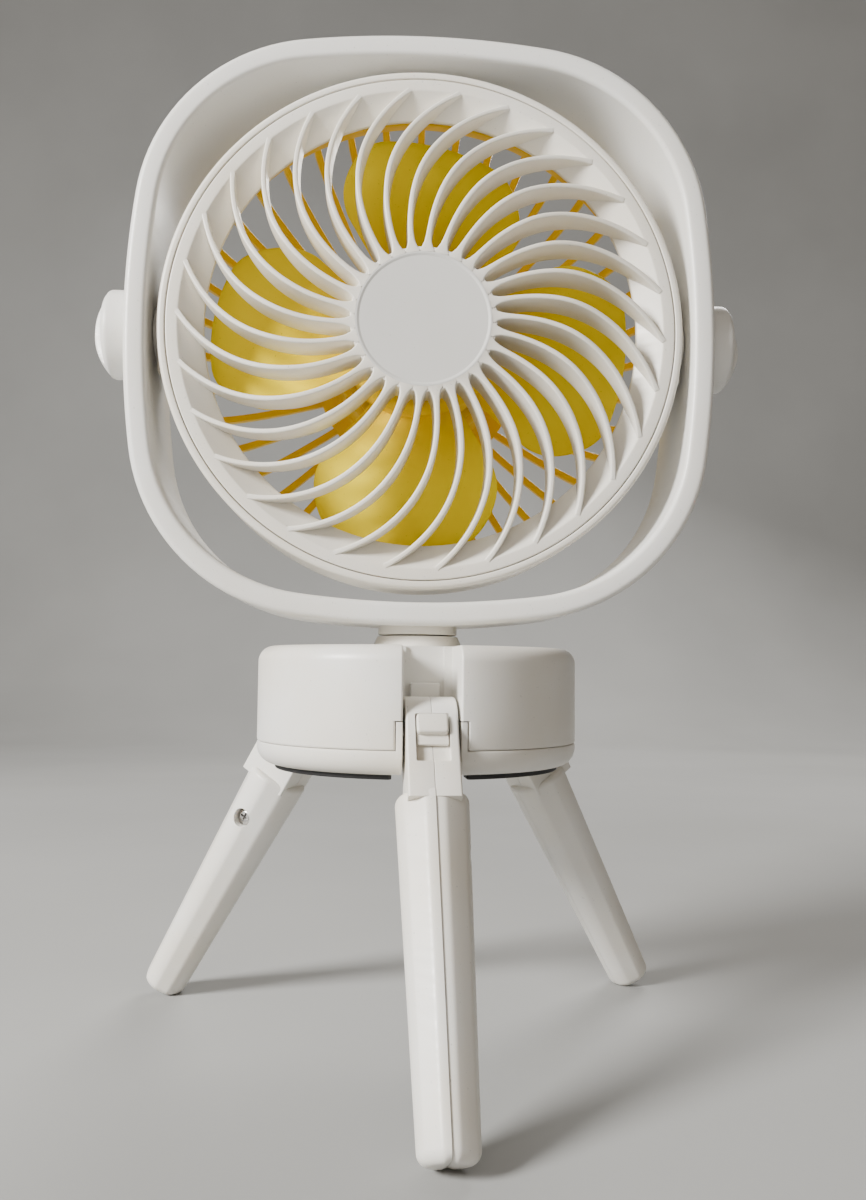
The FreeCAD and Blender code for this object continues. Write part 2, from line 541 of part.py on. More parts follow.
rounded(petal, "petal_round", "blade_corner", at_blade_tip)
sheet_wide = 90
flat_sheet = solid("Box", "flat_sheet", Length="blade_radius + 5", Width=sheet_wide, Height="blade_thick")
sheet_turn = Rotation(Vector(1, 0, 0), sheet.blade_pitch)
flat_sheet.Placement = Placement(sheet_turn.multVec(Vector(0, -sheet_wide / 2, -sheet.blade_thick / 2))
                                 + Vector(0, 0, sheet.blade_plane), sheet_turn)
blade = cut("blade", shared("blade_sheet", petal, flat_sheet),
            [rod("blade_root", "spinner_radius - spinner_wall / 2", -FAR / 4, FAR / 4)])
blades = repeated("blades", blade, "blade_count", start=90 - sheet.blade_phase)
node(joined("fan_impeller", [spinner, blades]), "fan_impeller", HEAD)
turned("rotor_bell", [("bell_hole", "bell_front"), ("bell_radius", "bell_front"),
                      ("bell_radius", "bell_back"), ("bell_radius - bell_wall", "bell_back"),
                      ("bell_radius - bell_wall", "bell_front - bell_wall"),
                      ("bell_hole", "bell_front - bell_wall")], HEAD)
MAGNET_OUTSIDE = "bell_radius - bell_wall"
MAGNET_INSIDE = MAGNET_OUTSIDE + " - magnet_thick"
turned("magnet_ring", [(MAGNET_OUTSIDE, "magnet_front"), (MAGNET_OUTSIDE, "magnet_back"),
                       (MAGNET_INSIDE, "magnet_back"), (MAGNET_INSIDE, "magnet_front")], HEAD)
node(rod("motor_shaft", "shaft_radius", "shaft_back", "shaft_front"), "motor_shaft", HEAD)

# ---------------------------------------------------------------- swivel neck

turned("swivel_collar", [("bolt_radius", "collar_bottom"), ("neck_radius", "collar_bottom"),
                         ("neck_radius", "collar_top"), ("bolt_radius + socket_wall", "collar_top"),
                         ("bolt_radius + socket_wall", "socket_top"), ("bolt_radius", "socket_top")])
turned("swivel_bolt", [(0, "bolt_bottom"), ("bolt_head_radius", "bolt_bottom"),
                       ("bolt_head_radius", "bolt_shoulder"), ("bolt_radius", "bolt_shoulder"),
                       ("bolt_radius", "bolt_top"), (0, "bolt_top")])
turned("swivel_washer", [("bolt_radius", "bolt_shoulder"), ("swivel_washer_radius", "bolt_shoulder"),
                         ("swivel_washer_radius", "swivel_washer_top"), ("bolt_radius", "swivel_washer_top")])
turned("swivel_flange", [("bolt_radius + running_gap", "flange_bottom"), ("flange_neck", "flange_bottom"),
                         ("flange_neck", "drum_top"), ("flange_radius", "drum_top"),
                         ("neck_radius + 0.2", "flange_top"), ("bolt_radius + running_gap", "flange_top")])

# ---------------------------------------------------------------- base drum


def rounded_drum(name, low, high, rim, radius):
    """A solid drum slice with the rim at one height rounded."""
    body = new_body(name)
    revolved(body, name + "_turned", [(0, low), ("drum_radius", low), ("drum_radius", high), (0, high)])
    rounded(body, name + "_round", radius, rim_at(rim))
    return body


BELOW, ABOVE = "drum_bottom - 10", "drum_top + 10"
slot_box = block("slot_box", ["-slot_half", "-drum_radius - 3", BELOW], ["slot_half", "-slot_depth", ABOVE])
slot_frame = block("slot_frame", ["-slot_half - slot_wall", "-drum_radius - 1", "drum_bottom"],
                   ["slot_half + slot_wall", "slot_wall - slot_depth", "drum_top"])
slot_boxes = repeated("slot_boxes", slot_box, "leg_count")
slot_frames = repeated("slot_frames", slot_frame, "leg_count")

shell_drum = rounded_drum("shell_drum", "drum_parting", "drum_top", sheet.drum_top, "drum_round")
shell_room = rod("shell_room", "drum_radius - drum_wall", BELOW, "drum_top - drum_wall")
shell_hollow = cut("shell_hollow", shell_drum, [shell_room])
shell_frames = shared("shell_frames", slot_frames, shell_drum)
guide_ribs = on_both_sides("guide_rib",
                           ["slot_half - guide_wide", "-slot_depth - guide_thick", "drum_parting"],
                           ["slot_half", "overlap - slot_depth", "drum_top"])
ear_rooms = on_both_sides("ear_room", ["slot_half - overlap", "-drum_radius - 3", BELOW],
                          ["slot_half + slot_wall + ear_gap", "0.2 - ear_inner", "ear_top + ear_gap"])
port_room = block("port_room", ["-port_half - port_gap", "wall_inside", "port_low - port_gap"],
                  ["port_half + port_gap", "wall_outside", "port_high + port_gap"])
BUTTON_AT, LIGHT_AT = (0, "button_height"), ("light_reach", "button_height")
button_bore = rod("button_bore", "button_radius + clear_gap", "wall_inside", "wall_outside", "y",
                  at=BUTTON_AT)
light_bore = rod("light_bore", "light_radius", "wall_inside", "wall_outside", "y", at=LIGHT_AT)
SCREW_AT = (0, "screw_reach")
screw_boss = rod("screw_boss", "screw_boss_radius", "drum_parting", "screw_boss_top", at=SCREW_AT)
screw_bosses = repeated("screw_bosses", screw_boss, "leg_count")
boss_bores = repeated("boss_bores", rod("boss_bore", "thread_radius", BELOW, "thread_top + 0.2", at=SCREW_AT),
                      "leg_count")
ear_room_sets = repeated("ear_rooms", joined("ear_room", ear_rooms), "leg_count")
shell_cuts = [slot_boxes, boss_bores, ear_room_sets, port_room, button_bore, light_bore,
              rod("flange_bore", "flange_neck", BELOW, ABOVE)]
shell = cut("shell_cut", joined("shell_solid", [shell_hollow, shell_frames, screw_bosses]), shell_cuts)
node(joined("base_shell", [shell, repeated("guide_ribs", joined("guide_rib", guide_ribs), "leg_count")]),
     "base_shell", BASE)

cover_drum = rounded_drum("cover_drum", "drum_bottom", "drum_parting", sheet.drum_bottom, "drum_under_round")
cover_room = rod("cover_room", "drum_radius - drum_under_round", "drum_bottom + drum_floor", ABOVE)
cover_frames = shared("cover_frames", slot_frames, cover_drum)
ears = on_both_sides("ear", ["slot_half", "-drum_radius - 1", "drum_bottom + drum_floor"],
                     ["slot_half + slot_wall", "-ear_inner", "ear_top"])
drum_space = rod("drum_space", "drum_radius", BELOW, ABOVE)
ears = shared("ears_trimmed", repeated("ears", joined("ear_pair", ears), "leg_count"), drum_space)
post_pairs = (("post_wide", "post_front"), ("post_narrow", "post_back"))
post_places = [(side + wide, back) for wide, back in post_pairs for side in ("", "-")]
posts = [rod("post_%d" % k, "post_radius", "drum_bottom + 1", "board_height", at=place)
         for k, place in enumerate(post_places)]
pin = rod("pin", "pin_radius", "pin_short - slot_half - slot_wall", "slot_half + slot_wall - pin_short", "x",
          at=("-hinge_reach", "hinge_height"))
pins = repeated("pin_set", pin, "leg_count")
stop_block = block("stop_block", ["-stop_half", "-stop_front", "drum_bottom + 0.5"],
                   ["stop_half", "-slot_depth - 0.05", "stop_top"])
stop_lug = block("stop_lug", ["-stop_half", "-stop_front", "drum_bottom + 0.5"],
                 ["stop_half", "0.4 - slot_depth", "drum_parting - 0.5"])
HEAD_LOW = "drum_bottom + overlap"
HEAD_HIGH = HEAD_LOW + " + bottom_head_thick"
bottom_thread = rod("bottom_thread", "thread_radius", HEAD_HIGH, "thread_top", at=SCREW_AT)
bottom_head = rod("bottom_head", "bottom_head_radius", HEAD_LOW, HEAD_HIGH, at=SCREW_AT)
bottom_screw = joined("bottom_screw", [bottom_thread, bottom_head])
bottom_screws = repeated("bottom_screw_set", bottom_screw, "leg_count")
cover_hollow = cut("cover_hollow", cover_drum, [cover_room])
cover = cut("cover_cut", joined("cover_solid", [cover_hollow, cover_frames, ears] + posts),
            [slot_boxes, pins, bottom_screws])
stops = repeated("stops", joined("stop", [stop_block, stop_lug]), "leg_count")
node(joined("base_cover", [cover, stops]), "base_cover", BASE)
node(bottom_screws, "bottom_screws", BASE)
node(pins, "hinge_pins", BASE)
pad_ring = cut("pad_ring", rod("pad_disc", "shoe_radius", "drum_bottom - shoe_thick", "drum_bottom"),
               [rod("pad_hole", "shoe_inner", BELOW, ABOVE)])
pad_gap = block("pad_gap", ["-shoe_gap", "-drum_radius - 1", BELOW], ["shoe_gap", "-stop_front", ABOVE])
node(cut("rubber_pads", pad_ring, [repeated("pad_gaps", pad_gap, "leg_count")]), "rubber_pads", BASE)

# ---------------------------------------------------------------- battery, board, inlet and button

node(rod("battery_cell", "cell_radius", "-cell_half", "cell_half", "x", at=("-cell_front", "cell_height")),
     "battery_cell", BASE)
boards = [block("flat_board", ["-board_half", "board_front", "board_height"],
                ["board_half", "board_back", "board_height + board_thick"]),
          block("upright_board", ["-upright_half", "upright_front", "board_height + board_thick"],
                ["upright_half", "upright_front + upright_thick", "upright_top"])]
node(joined("control_board", boards), "control_board", BASE)
port_shell = block("port_shell", ["-port_half", "port_front", "port_low"],
                   ["port_half", "port_back", "port_high"])
port_mouth = block("port_mouth", ["port_wall - port_half", "port_front + port_floor", "port_low + port_wall"],
                   ["port_half - port_wall", "wall_outside", "port_high - port_wall"])
node(cut("usb_socket", port_shell, [port_mouth]), "usb_socket", BASE)
SWITCH_FRONT = "upright_front + upright_thick"
switch = block("button_switch", ["-switch_half", SWITCH_FRONT, "button_height - switch_half"],
               ["switch_half", SWITCH_FRONT + " + switch_deep", "button_height + switch_half"])
node(switch, "button_switch", BASE)
node(rod("charge_light", "light_radius", "light_front", "light_back", "y", at=LIGHT_AT), "charge_light", BASE)
button_post = rod("button_post", "button_radius", "button_front", "button_back", "y", at=BUTTON_AT)
button_rim = rod("button_rim", "button_flange", "button_front", "button_front + button_flange_thick", "y",
                 at=BUTTON_AT)
node(joined("power_button", [button_post, button_rim]), "power_button", BASE)

# ---------------------------------------------------------------- legs

shank = new_body("shank")
revolved(shank, "shank_turned", [(0, "-leg_length"), ("foot_radius", "-leg_length"),
                                 ("shank_top_radius", "-neck_length"), (0, "-neck_length")])
rounded(shank, "foot_rounding", "foot_round", rim_at(-sheet.leg_length))
hollow = new_body("hollow")
HOLLOW_END = "foot_floor - leg_length"
revolved(hollow, "hollow_turned", [(0, HOLLOW_END), ("foot_radius - leg_wall", HOLLOW_END),
                                   ("shank_top_radius - leg_wall", "-hollow_top"), (0, "-hollow_top")])
flats = []
flat_side = 30
for side in (1, -1):
    flat = solid("Box", "flat", Length=flat_side, Width="barrel_radius", Height="leg_length")
    lean = Rotation(Vector(0, 0, 1), side * sheet.flat_turn) * Rotation(Vector(1, 0, 0), -sheet.flat_lean)
    corner = Vector(-flat_side / 2, sheet.flat_reach, -sheet.neck_length - sheet.leg_length)
    flat.Placement = Placement(lean.multVec(corner), lean)
    flats.append(flat)
SCREW_LINE = (0, "-leg_screw_drop")
barrel = rod("barrel", "barrel_radius", "-neck_half", "neck_half", "x")
neck = block("leg_neck", ["-neck_half", "clear_gap - barrel_radius", "-neck_end"],
             ["neck_half", "neck_back", 0])
screw_post = rod("screw_post", "leg_post_radius", "-leg_post_half", "leg_post_half", "x", at=SCREW_LINE)
pin_bore = rod("pin_bore", "pin_radius + running_gap", -FAR, FAR, "x")
window = block("window", ["-window_half", "-drum_wall - 10", "-window_bottom"],
               ["window_half", "-window_floor", "window_top"])
thread_bore = rod("leg_screw_bore", "leg_thread_radius", "-leg_thread_end - thread_room",
                  "leg_thread_end + thread_room", "x", at=SCREW_LINE)
counterbore = rod("leg_counterbore", "counterbore_radius", "leg_head_low", "barrel_radius + 4", "x",
                  at=SCREW_LINE)
shank_shell = cut("shank_shell", shank, [hollow] + flats)
leg_solid = cut("leg_solid", joined("leg_pieces", [shank_shell, neck, barrel, screw_post]),
                [pin_bore, window, thread_bore, counterbore])
sides = {"left": block("left_side", [-FAR, -FAR, -FAR], [0, FAR, FAR]),
         "right": block("right_side", [0, -FAR, -FAR], [FAR, FAR, FAR])}
for name, turn in zip(("leg_front", "leg_right", "leg_left"), LEG_TURNS):
    around = Rotation(Vector(0, 0, 1), turn)
    pin_place = around.multVec(Vector(0, -sheet.hinge_reach, sheet.hinge_height))
    place = Placement(pin_place, around * Rotation(Vector(1, 0, 0), -sheet.leg_splay))
    for side, half in sides.items():
        label = "%s_half_%s" % (name, side)
        node(shared(label, leg_solid, half), label, place)
    thread = rod("leg_thread", "leg_thread_radius", "-leg_thread_end", "leg_head_low", "x", at=SCREW_LINE)
    head = rod("leg_screw_head", "leg_head_radius", "leg_head_low", "leg_head_high", "x", at=SCREW_LINE)
    node(joined(name + "_screw", [thread, head]), name + "_screw", place)
    plate = block("latch_plate", ["-latch_half", "-latch_step", "-latch_plate_drop"],
                  ["latch_half", "-latch_back", "latch_top"])
    push = block("latch_button", ["-latch_half", "-latch_front", "-latch_button_drop"],
                 ["latch_half", "overlap - latch_step", "latch_top"])
    node(joined(name + "_latch", [plate, push]), name + "_latch", place)

# ---------------------------------------------------------------- check and write

doc.recompute()
failed = [obj.Name for obj in doc.Objects if "Invalid" in obj.State or "Error" in obj.State]
if failed:
    raise RuntimeError("these objects failed: %s" % failed)
os.makedirs("parts", exist_ok=True)
for obj in nodes:
    shape = obj.Shape
    if shape.isNull() or not shape.isValid() or not shape.Solids:
        raise RuntimeError("%s has no valid solid" % obj.Label)
    shape.exportStep("parts/%s.step" % obj.Label)
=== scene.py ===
import json
import math
import bmesh
import bpy
from mathutils import Matrix, Vector


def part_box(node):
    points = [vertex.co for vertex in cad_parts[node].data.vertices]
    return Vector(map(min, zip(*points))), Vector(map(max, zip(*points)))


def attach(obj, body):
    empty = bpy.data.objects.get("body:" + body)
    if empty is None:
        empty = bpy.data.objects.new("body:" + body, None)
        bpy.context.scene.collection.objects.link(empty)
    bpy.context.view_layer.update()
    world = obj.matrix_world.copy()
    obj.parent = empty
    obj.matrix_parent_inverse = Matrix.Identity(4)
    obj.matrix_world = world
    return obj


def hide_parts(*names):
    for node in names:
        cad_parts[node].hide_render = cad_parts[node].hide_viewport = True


# A small battery fan: round guarded head in a rounded square yoke, on a drum base with three
# folding legs.  Shapes are worked out in millimetres and scaled to metres when a mesh is made.

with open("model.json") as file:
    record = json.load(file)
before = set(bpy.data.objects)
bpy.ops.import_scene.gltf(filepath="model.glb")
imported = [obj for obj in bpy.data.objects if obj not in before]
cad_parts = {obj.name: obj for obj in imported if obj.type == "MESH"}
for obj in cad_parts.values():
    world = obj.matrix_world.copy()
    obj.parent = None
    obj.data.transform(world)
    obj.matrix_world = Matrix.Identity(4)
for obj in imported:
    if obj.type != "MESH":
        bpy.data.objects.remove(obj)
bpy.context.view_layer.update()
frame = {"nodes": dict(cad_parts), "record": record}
MM = 0.001
JOIN_DISTANCE = 2e-6                 # points nearer than this are one point, in metres
SMALLEST_ROUND = 0.02

TILT_HEIGHT = 185.5
BASE_TURN = 3
LEG_SPLAY = 31.5
HINGE_REACH = 33.7
LEG_TURNS = {"leg_front": BASE_TURN, "leg_right": BASE_TURN + 120, "leg_left": BASE_TURN + 240}

# ---------------------------------------------------------------- places

UPRIGHT = Matrix.Identity(4)
HEAD = Matrix.Translation((0, 0, TILT_HEIGHT)) @ Matrix.Rotation(math.pi / 2, 4, "X")
YOKE = Matrix.Translation((0, 0, TILT_HEIGHT))
BASE = Matrix.Rotation(math.radians(BASE_TURN), 4, "Z")
low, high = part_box("hinge_pins")
HINGE_HEIGHT = (low.z + high.z) / 2 / MM


def leg_place(turn):
    return (Matrix.Rotation(math.radians(turn), 4, "Z")
            @ Matrix.Translation((0, -HINGE_REACH, HINGE_HEIGHT))
            @ Matrix.Rotation(math.radians(-LEG_SPLAY), 4, "X"))


# ---------------------------------------------------------------- mesh tools

def smooth(value, low, high):
    """0 below low, 1 above high and a soft step between."""
    t = min(max((value - low) / (high - low), 0), 1)
    return t * t * (3 - 2 * t)


def blended(a, b, t):
    return a + (b - a) * t


def rounded(corners, steps=5):
    """A closed outline whose corners (x, y, radius) are replaced by arcs."""
    outline = []
    count = len(corners)
    for k, (x, y, radius) in enumerate(corners):
        here = Vector((x, y))
        if not radius:
            outline.append(here)
            continue
        before = (Vector(corners[k - 1][:2]) - here).normalized()
        after = (Vector(corners[(k + 1) % count][:2]) - here).normalized()
        half = before.angle(after) / 2
        centre = here + (before + after).normalized() * (radius / math.sin(half))
        first = here + before * (radius / math.tan(half)) - centre
        last = here + after * (radius / math.tan(half)) - centre
        start = math.atan2(first.y, first.x)
        turn = (math.atan2(last.y, last.x) - start + math.pi) % (2 * math.pi) - math.pi
        for step in range(steps + 1):
            angle = start + turn * step / steps
            outline.append(centre + Vector((math.cos(angle), math.sin(angle))) * radius)
    return outline


def quarter_round(radius, steps):
    """Inset and drop along a rounded rim, from its face, (radius, 0), to its side wall, (0, radius).

    The same pairs taken as drop and inset run from the side wall to the face.
    """
    rim = []
    for k in range(steps + 1):
        angle = math.pi / 2 * k / steps
        rim.append((radius * (1 - math.sin(angle)), radius * (1 - math.cos(angle))))
    return rim


def on_circle(radius, angle, height=0):
    """A point on a circle about Z."""
    return Vector((radius * math.cos(angle), radius * math.sin(angle), height))


class Surface:
    """Points in millimetres and the faces between them."""

    def __init__(self):
        self.points = []
        self.faces = []

    def grid(self, rows, around=True, along=False):
        """Quads between rows of equal length, closed around each row and, if asked, along them."""
        start = len(self.points)
        width = len(rows[0])
        for row in rows:
            self.points.extend(row)
        for i in range(len(rows) - (not along)):
            for j in range(width - (not around)):
                next_i = (i + 1) % len(rows)
                next_j = (j + 1) % width
                self.faces.append([start + i * width + j, start + i * width + next_j,
                                   start + next_i * width + next_j, start + next_i * width + j])
        return self

    def capped(self, rows):
        """A grid closed by a flat face at both ends."""
        start = len(self.points)
        self.grid(rows)
        width = len(rows[0])
        self.faces.append(list(range(start, start + width)))
        self.faces.append(list(range(len(self.points) - width, len(self.points))))
        return self

    def placed(self, matrix):
        self.points = [matrix @ Vector(p) for p in self.points]
        return self

    def merged(self, other):
        start = len(self.points)
        self.points.extend(other.points)
        self.faces.extend([[k + start for k in face] for face in other.faces])
        return self


def lathe(outline, count=96, closed=True):
    """Turn an outline of (radius, height) about Z; an open outline starts and ends on the axis."""
    rows = []
    for k in range(count):
        angle = 2 * math.pi * k / count
        rows.append([on_circle(p[0], angle, p[1]) for p in outline])
    return Surface().grid(rows, around=closed, along=True)


def slab(outline, low, high, low_edge, high_edge, steps=4):
    """A flat piece between two heights with its rims rounded; outline(inset) gives its points."""
    rows = []
    for edge, height, inward in ((low_edge, low, 1), (high_edge, high, -1)):
        rim = [(inset, height + inward * drop) for inset, drop in quarter_round(edge, steps)]
        rows += rim[::inward]
    return Surface().capped([[Vector((p[0], p[1], z)) for p in outline(inset)] for inset, z in rows])


def box_outline(x_low, x_high, y_low, y_high, radius):
    """The outline function of a rectangle with rounded corners."""
    def outline(inset):
        r = max(radius - inset, SMALLEST_ROUND)
        return rounded([(x_low + inset, y_low + inset, r), (x_high - inset, y_low + inset, r),
                        (x_high - inset, y_high - inset, r), (x_low + inset, y_high - inset, r)])
    return outline


def disc_outline(radius, at=(0, 0), count=48):
    """The outline function of a disc."""
    def outline(inset):
        return [Vector((at[0] + (radius - inset) * math.cos(2 * math.pi * k / count),
                        at[1] + (radius - inset) * math.sin(2 * math.pi * k / count)))
                for k in range(count)]
    return outline


def mesh_object(name, surface, place):
    """A mesh object of a surface, with doubled points joined and its faces turned outwards."""
    mesh = bpy.data.meshes.new(name)
    mesh.from_pydata([place @ Vector(p) * MM for p in surface.points], [], surface.faces)
    work = bmesh.new()
    work.from_mesh(mesh)
    bmesh.ops.remove_doubles(work, verts=work.verts, dist=JOIN_DISTANCE)
    bmesh.ops.dissolve_degenerate(work, edges=work.edges, dist=JOIN_DISTANCE / 2)
    bmesh.ops.recalc_face_normals(work, faces=work.faces)
    work.to_mesh(mesh)
    work.free()
    obj = bpy.data.objects.new(name, mesh)
    bpy.context.scene.collection.objects.link(obj)
    return obj


def piece(name, surface, place, material, body, nodes, sharp=35):
    """A finished visible piece, tied to the CAD body it moves with and the nodes it stands for."""
    obj = mesh_object(name, surface, place)
    obj.data.shade_smooth()
    obj.data.set_sharp_from_angle(angle=math.radians(sharp))
    obj.data.materials.append(material)
    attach(obj, body)
    for node in nodes:
        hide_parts(node)
    return obj


def carved(obj, cutters, place, sharp=35):
    """Cut surfaces out of a finished piece."""
    for surface in cutters:
        tool = mesh_object("cutter", surface, place)
        modifier = obj.modifiers.new("cut", "BOOLEAN")
        modifier.object = tool
        modifier.operation = "DIFFERENCE"
        modifier.solver = "EXACT"
        bpy.context.view_layer.update()
        evaluated = obj.evaluated_get(bpy.context.evaluated_depsgraph_get())
        result = bpy.data.meshes.new_from_object(evaluated)
        obj.modifiers.clear()
        obj.data = result
        bpy.data.objects.remove(tool)
    obj.data.shade_smooth()
    obj.data.set_sharp_from_angle(angle=math.radians(sharp))
    return obj


# ---------------------------------------------------------------- materials

SLOTS = {part["node"]: part["material_slot"] for part in frame["record"]["subparts"]}


class Nodes:
    """Short calls for building a material's node tree."""

    def __init__(self, name, material=None):
        self.material = material or bpy.data.materials.new(name)
        self.material.use_nodes = True
        self.tree = self.material.node_tree
        self.shader = self.tree.nodes["Principled BSDF"]
        self.place = self.add("ShaderNodeTexCoord").outputs["Object"]

    def add(self, kind, **settings):
        node = self.tree.nodes.new(kind)
        for name, value in settings.items():
            setattr(node, name, value)
        return node

    def link(self, output, socket):
        self.tree.links.new(output, socket)

    def noise(self, scale, detail=2.0, stretch=(1, 1, 1)):
        mapping = self.add("ShaderNodeMapping")
        mapping.inputs["Scale"].default_value = stretch
        self.link(self.place, mapping.inputs["Vector"])
        node = self.add("ShaderNodeTexNoise")
        node.inputs["Scale"].default_value = scale
        node.inputs["Detail"].default_value = detail
        self.link(mapping.outputs["Vector"], node.inputs["Vector"])
        return node.outputs["Fac"]

    def span(self, value, low, high, to_low=0.0, to_high=1.0):
        """Map the part of a value between low and high to a new range."""
        node = self.add("ShaderNodeMapRange")
        self.link(value, node.inputs["Value"])
        ends = {"From Min": low, "From Max": high, "To Min": to_low, "To Max": to_high}
        for name, number in ends.items():
            node.inputs[name].default_value = number
        return node.outputs["Result"]

    def mix(self, factor, first, second):
        """Mix two colours, each a tuple or another node's output."""
        node = self.add("ShaderNodeMix", data_type="RGBA")
        self.link(factor, node.inputs["Factor"])
        for socket, colour in zip([i for i in node.inputs if i.type == "RGBA"], (first, second)):
            if isinstance(colour, tuple):
                socket.default_value = colour + (1,)
            else:
                self.link(colour, socket)
        return next(o for o in node.outputs if o.type == "RGBA")

    def bump(self, height, distance, strength=1.0, below=None):
        node = self.add("ShaderNodeBump")
        node.inputs["Strength"].default_value = strength
        node.inputs["Distance"].default_value = distance
        self.link(height, node.inputs["Height"])
        if below is not None:
            self.link(below, node.inputs["Normal"])
        return node.outputs["Normal"]


def plastic(name, colour, tint, roughness=0.36, glow=0.0, shine=0.45):
    """Moulded plastic: faint flow clouds, fine grain, specks of dust and a few rubbed streaks."""
    nodes = Nodes(name)
    clouds = nodes.span(nodes.noise(28, 3), 0.35, 0.75)
    flow = nodes.mix(clouds, colour, tint)
    dusty = tuple(c * 0.55 for c in colour)
    specks = nodes.span(nodes.noise(1500, 1), 0.73, 0.78, 0.0, 0.45)
    nodes.link(nodes.mix(specks, flow, dusty), nodes.shader.inputs["Base Color"])
    streaks = nodes.noise(90, 4, (1, 1, 9))
    rubbed = nodes.span(streaks, 0.3, 0.7, roughness - 0.06, roughness + 0.08)
    nodes.link(rubbed, nodes.shader.inputs["Roughness"])
    fine = nodes.bump(nodes.noise(2600, 2), 0.00002, 0.35)
    nodes.link(nodes.bump(nodes.noise(120, 2), 0.00006, 0.25, fine), nodes.shader.inputs["Normal"])
    nodes.shader.inputs["Specular IOR Level"].default_value = shine
    if glow:                                 # light that enters the plastic and comes out nearby
        nodes.shader.inputs["Subsurface Weight"].default_value = glow
        nodes.shader.inputs["Subsurface Radius"].default_value = (1.0, 0.75, 0.45)
        nodes.shader.inputs["Subsurface Scale"].default_value = 0.003
    return nodes.material


def blade_plastic(name):
    """Yellow plastic that turns orange towards the hub."""
    material = plastic(name, (0.98, 0.77, 0.002), (0.95, 0.71, 0.002), 0.50, 0.10, 0.08)
    nodes = Nodes(name, material)
    offset = nodes.add("ShaderNodeVectorMath", operation="MULTIPLY_ADD")
    nodes.link(nodes.place, offset.inputs[0])
    offset.inputs[1].default_value = (1, 0, 1)
    offset.inputs[2].default_value = (0, 0, -TILT_HEIGHT * MM)
    reach = nodes.add("ShaderNodeVectorMath", operation="LENGTH")
    nodes.link(offset.outputs["Vector"], reach.inputs[0])
    near = nodes.span(reach.outputs["Value"], 0.018, 0.040, 0.35, 0.0)
    below = nodes.shader.inputs["Base Color"].links[0].from_socket
    nodes.link(nodes.mix(near, below, (0.90, 0.42, 0.005)), nodes.shader.inputs["Base Color"])
    return material


def metal(name, colour, roughness, stretch=(1, 1, 1)):
    """Metal with fine drawn lines and small differences in polish."""
    nodes = Nodes(name)
    lines = nodes.noise(900, 3, stretch)
    dark = tuple(c * 0.7 for c in colour)
    nodes.link(nodes.mix(nodes.span(lines, 0.35, 0.7), colour, dark), nodes.shader.inputs["Base Color"])
    polish = nodes.span(lines, 0.3, 0.7, roughness - 0.08, roughness + 0.12)
    nodes.link(polish, nodes.shader.inputs["Roughness"])
    nodes.link(nodes.bump(lines, 0.00002, 0.4), nodes.shader.inputs["Normal"])
    nodes.shader.inputs["Metallic"].default_value = 1.0
    return nodes.material


def rubber(name, colour):
    """Matt rubber with a pebbled grain and grey dust."""
    nodes = Nodes(name)
    dust = nodes.span(nodes.noise(240, 4), 0.5, 0.8)
    grey = tuple(c + 0.03 for c in colour)
    nodes.link(nodes.mix(dust, colour, grey), nodes.shader.inputs["Base Color"])
    nodes.link(nodes.span(dust, 0, 1, 0.62, 0.85), nodes.shader.inputs["Roughness"])
    nodes.link(nodes.bump(nodes.noise(1600, 2), 0.00008, 0.6), nodes.shader.inputs["Normal"])
    return nodes.material


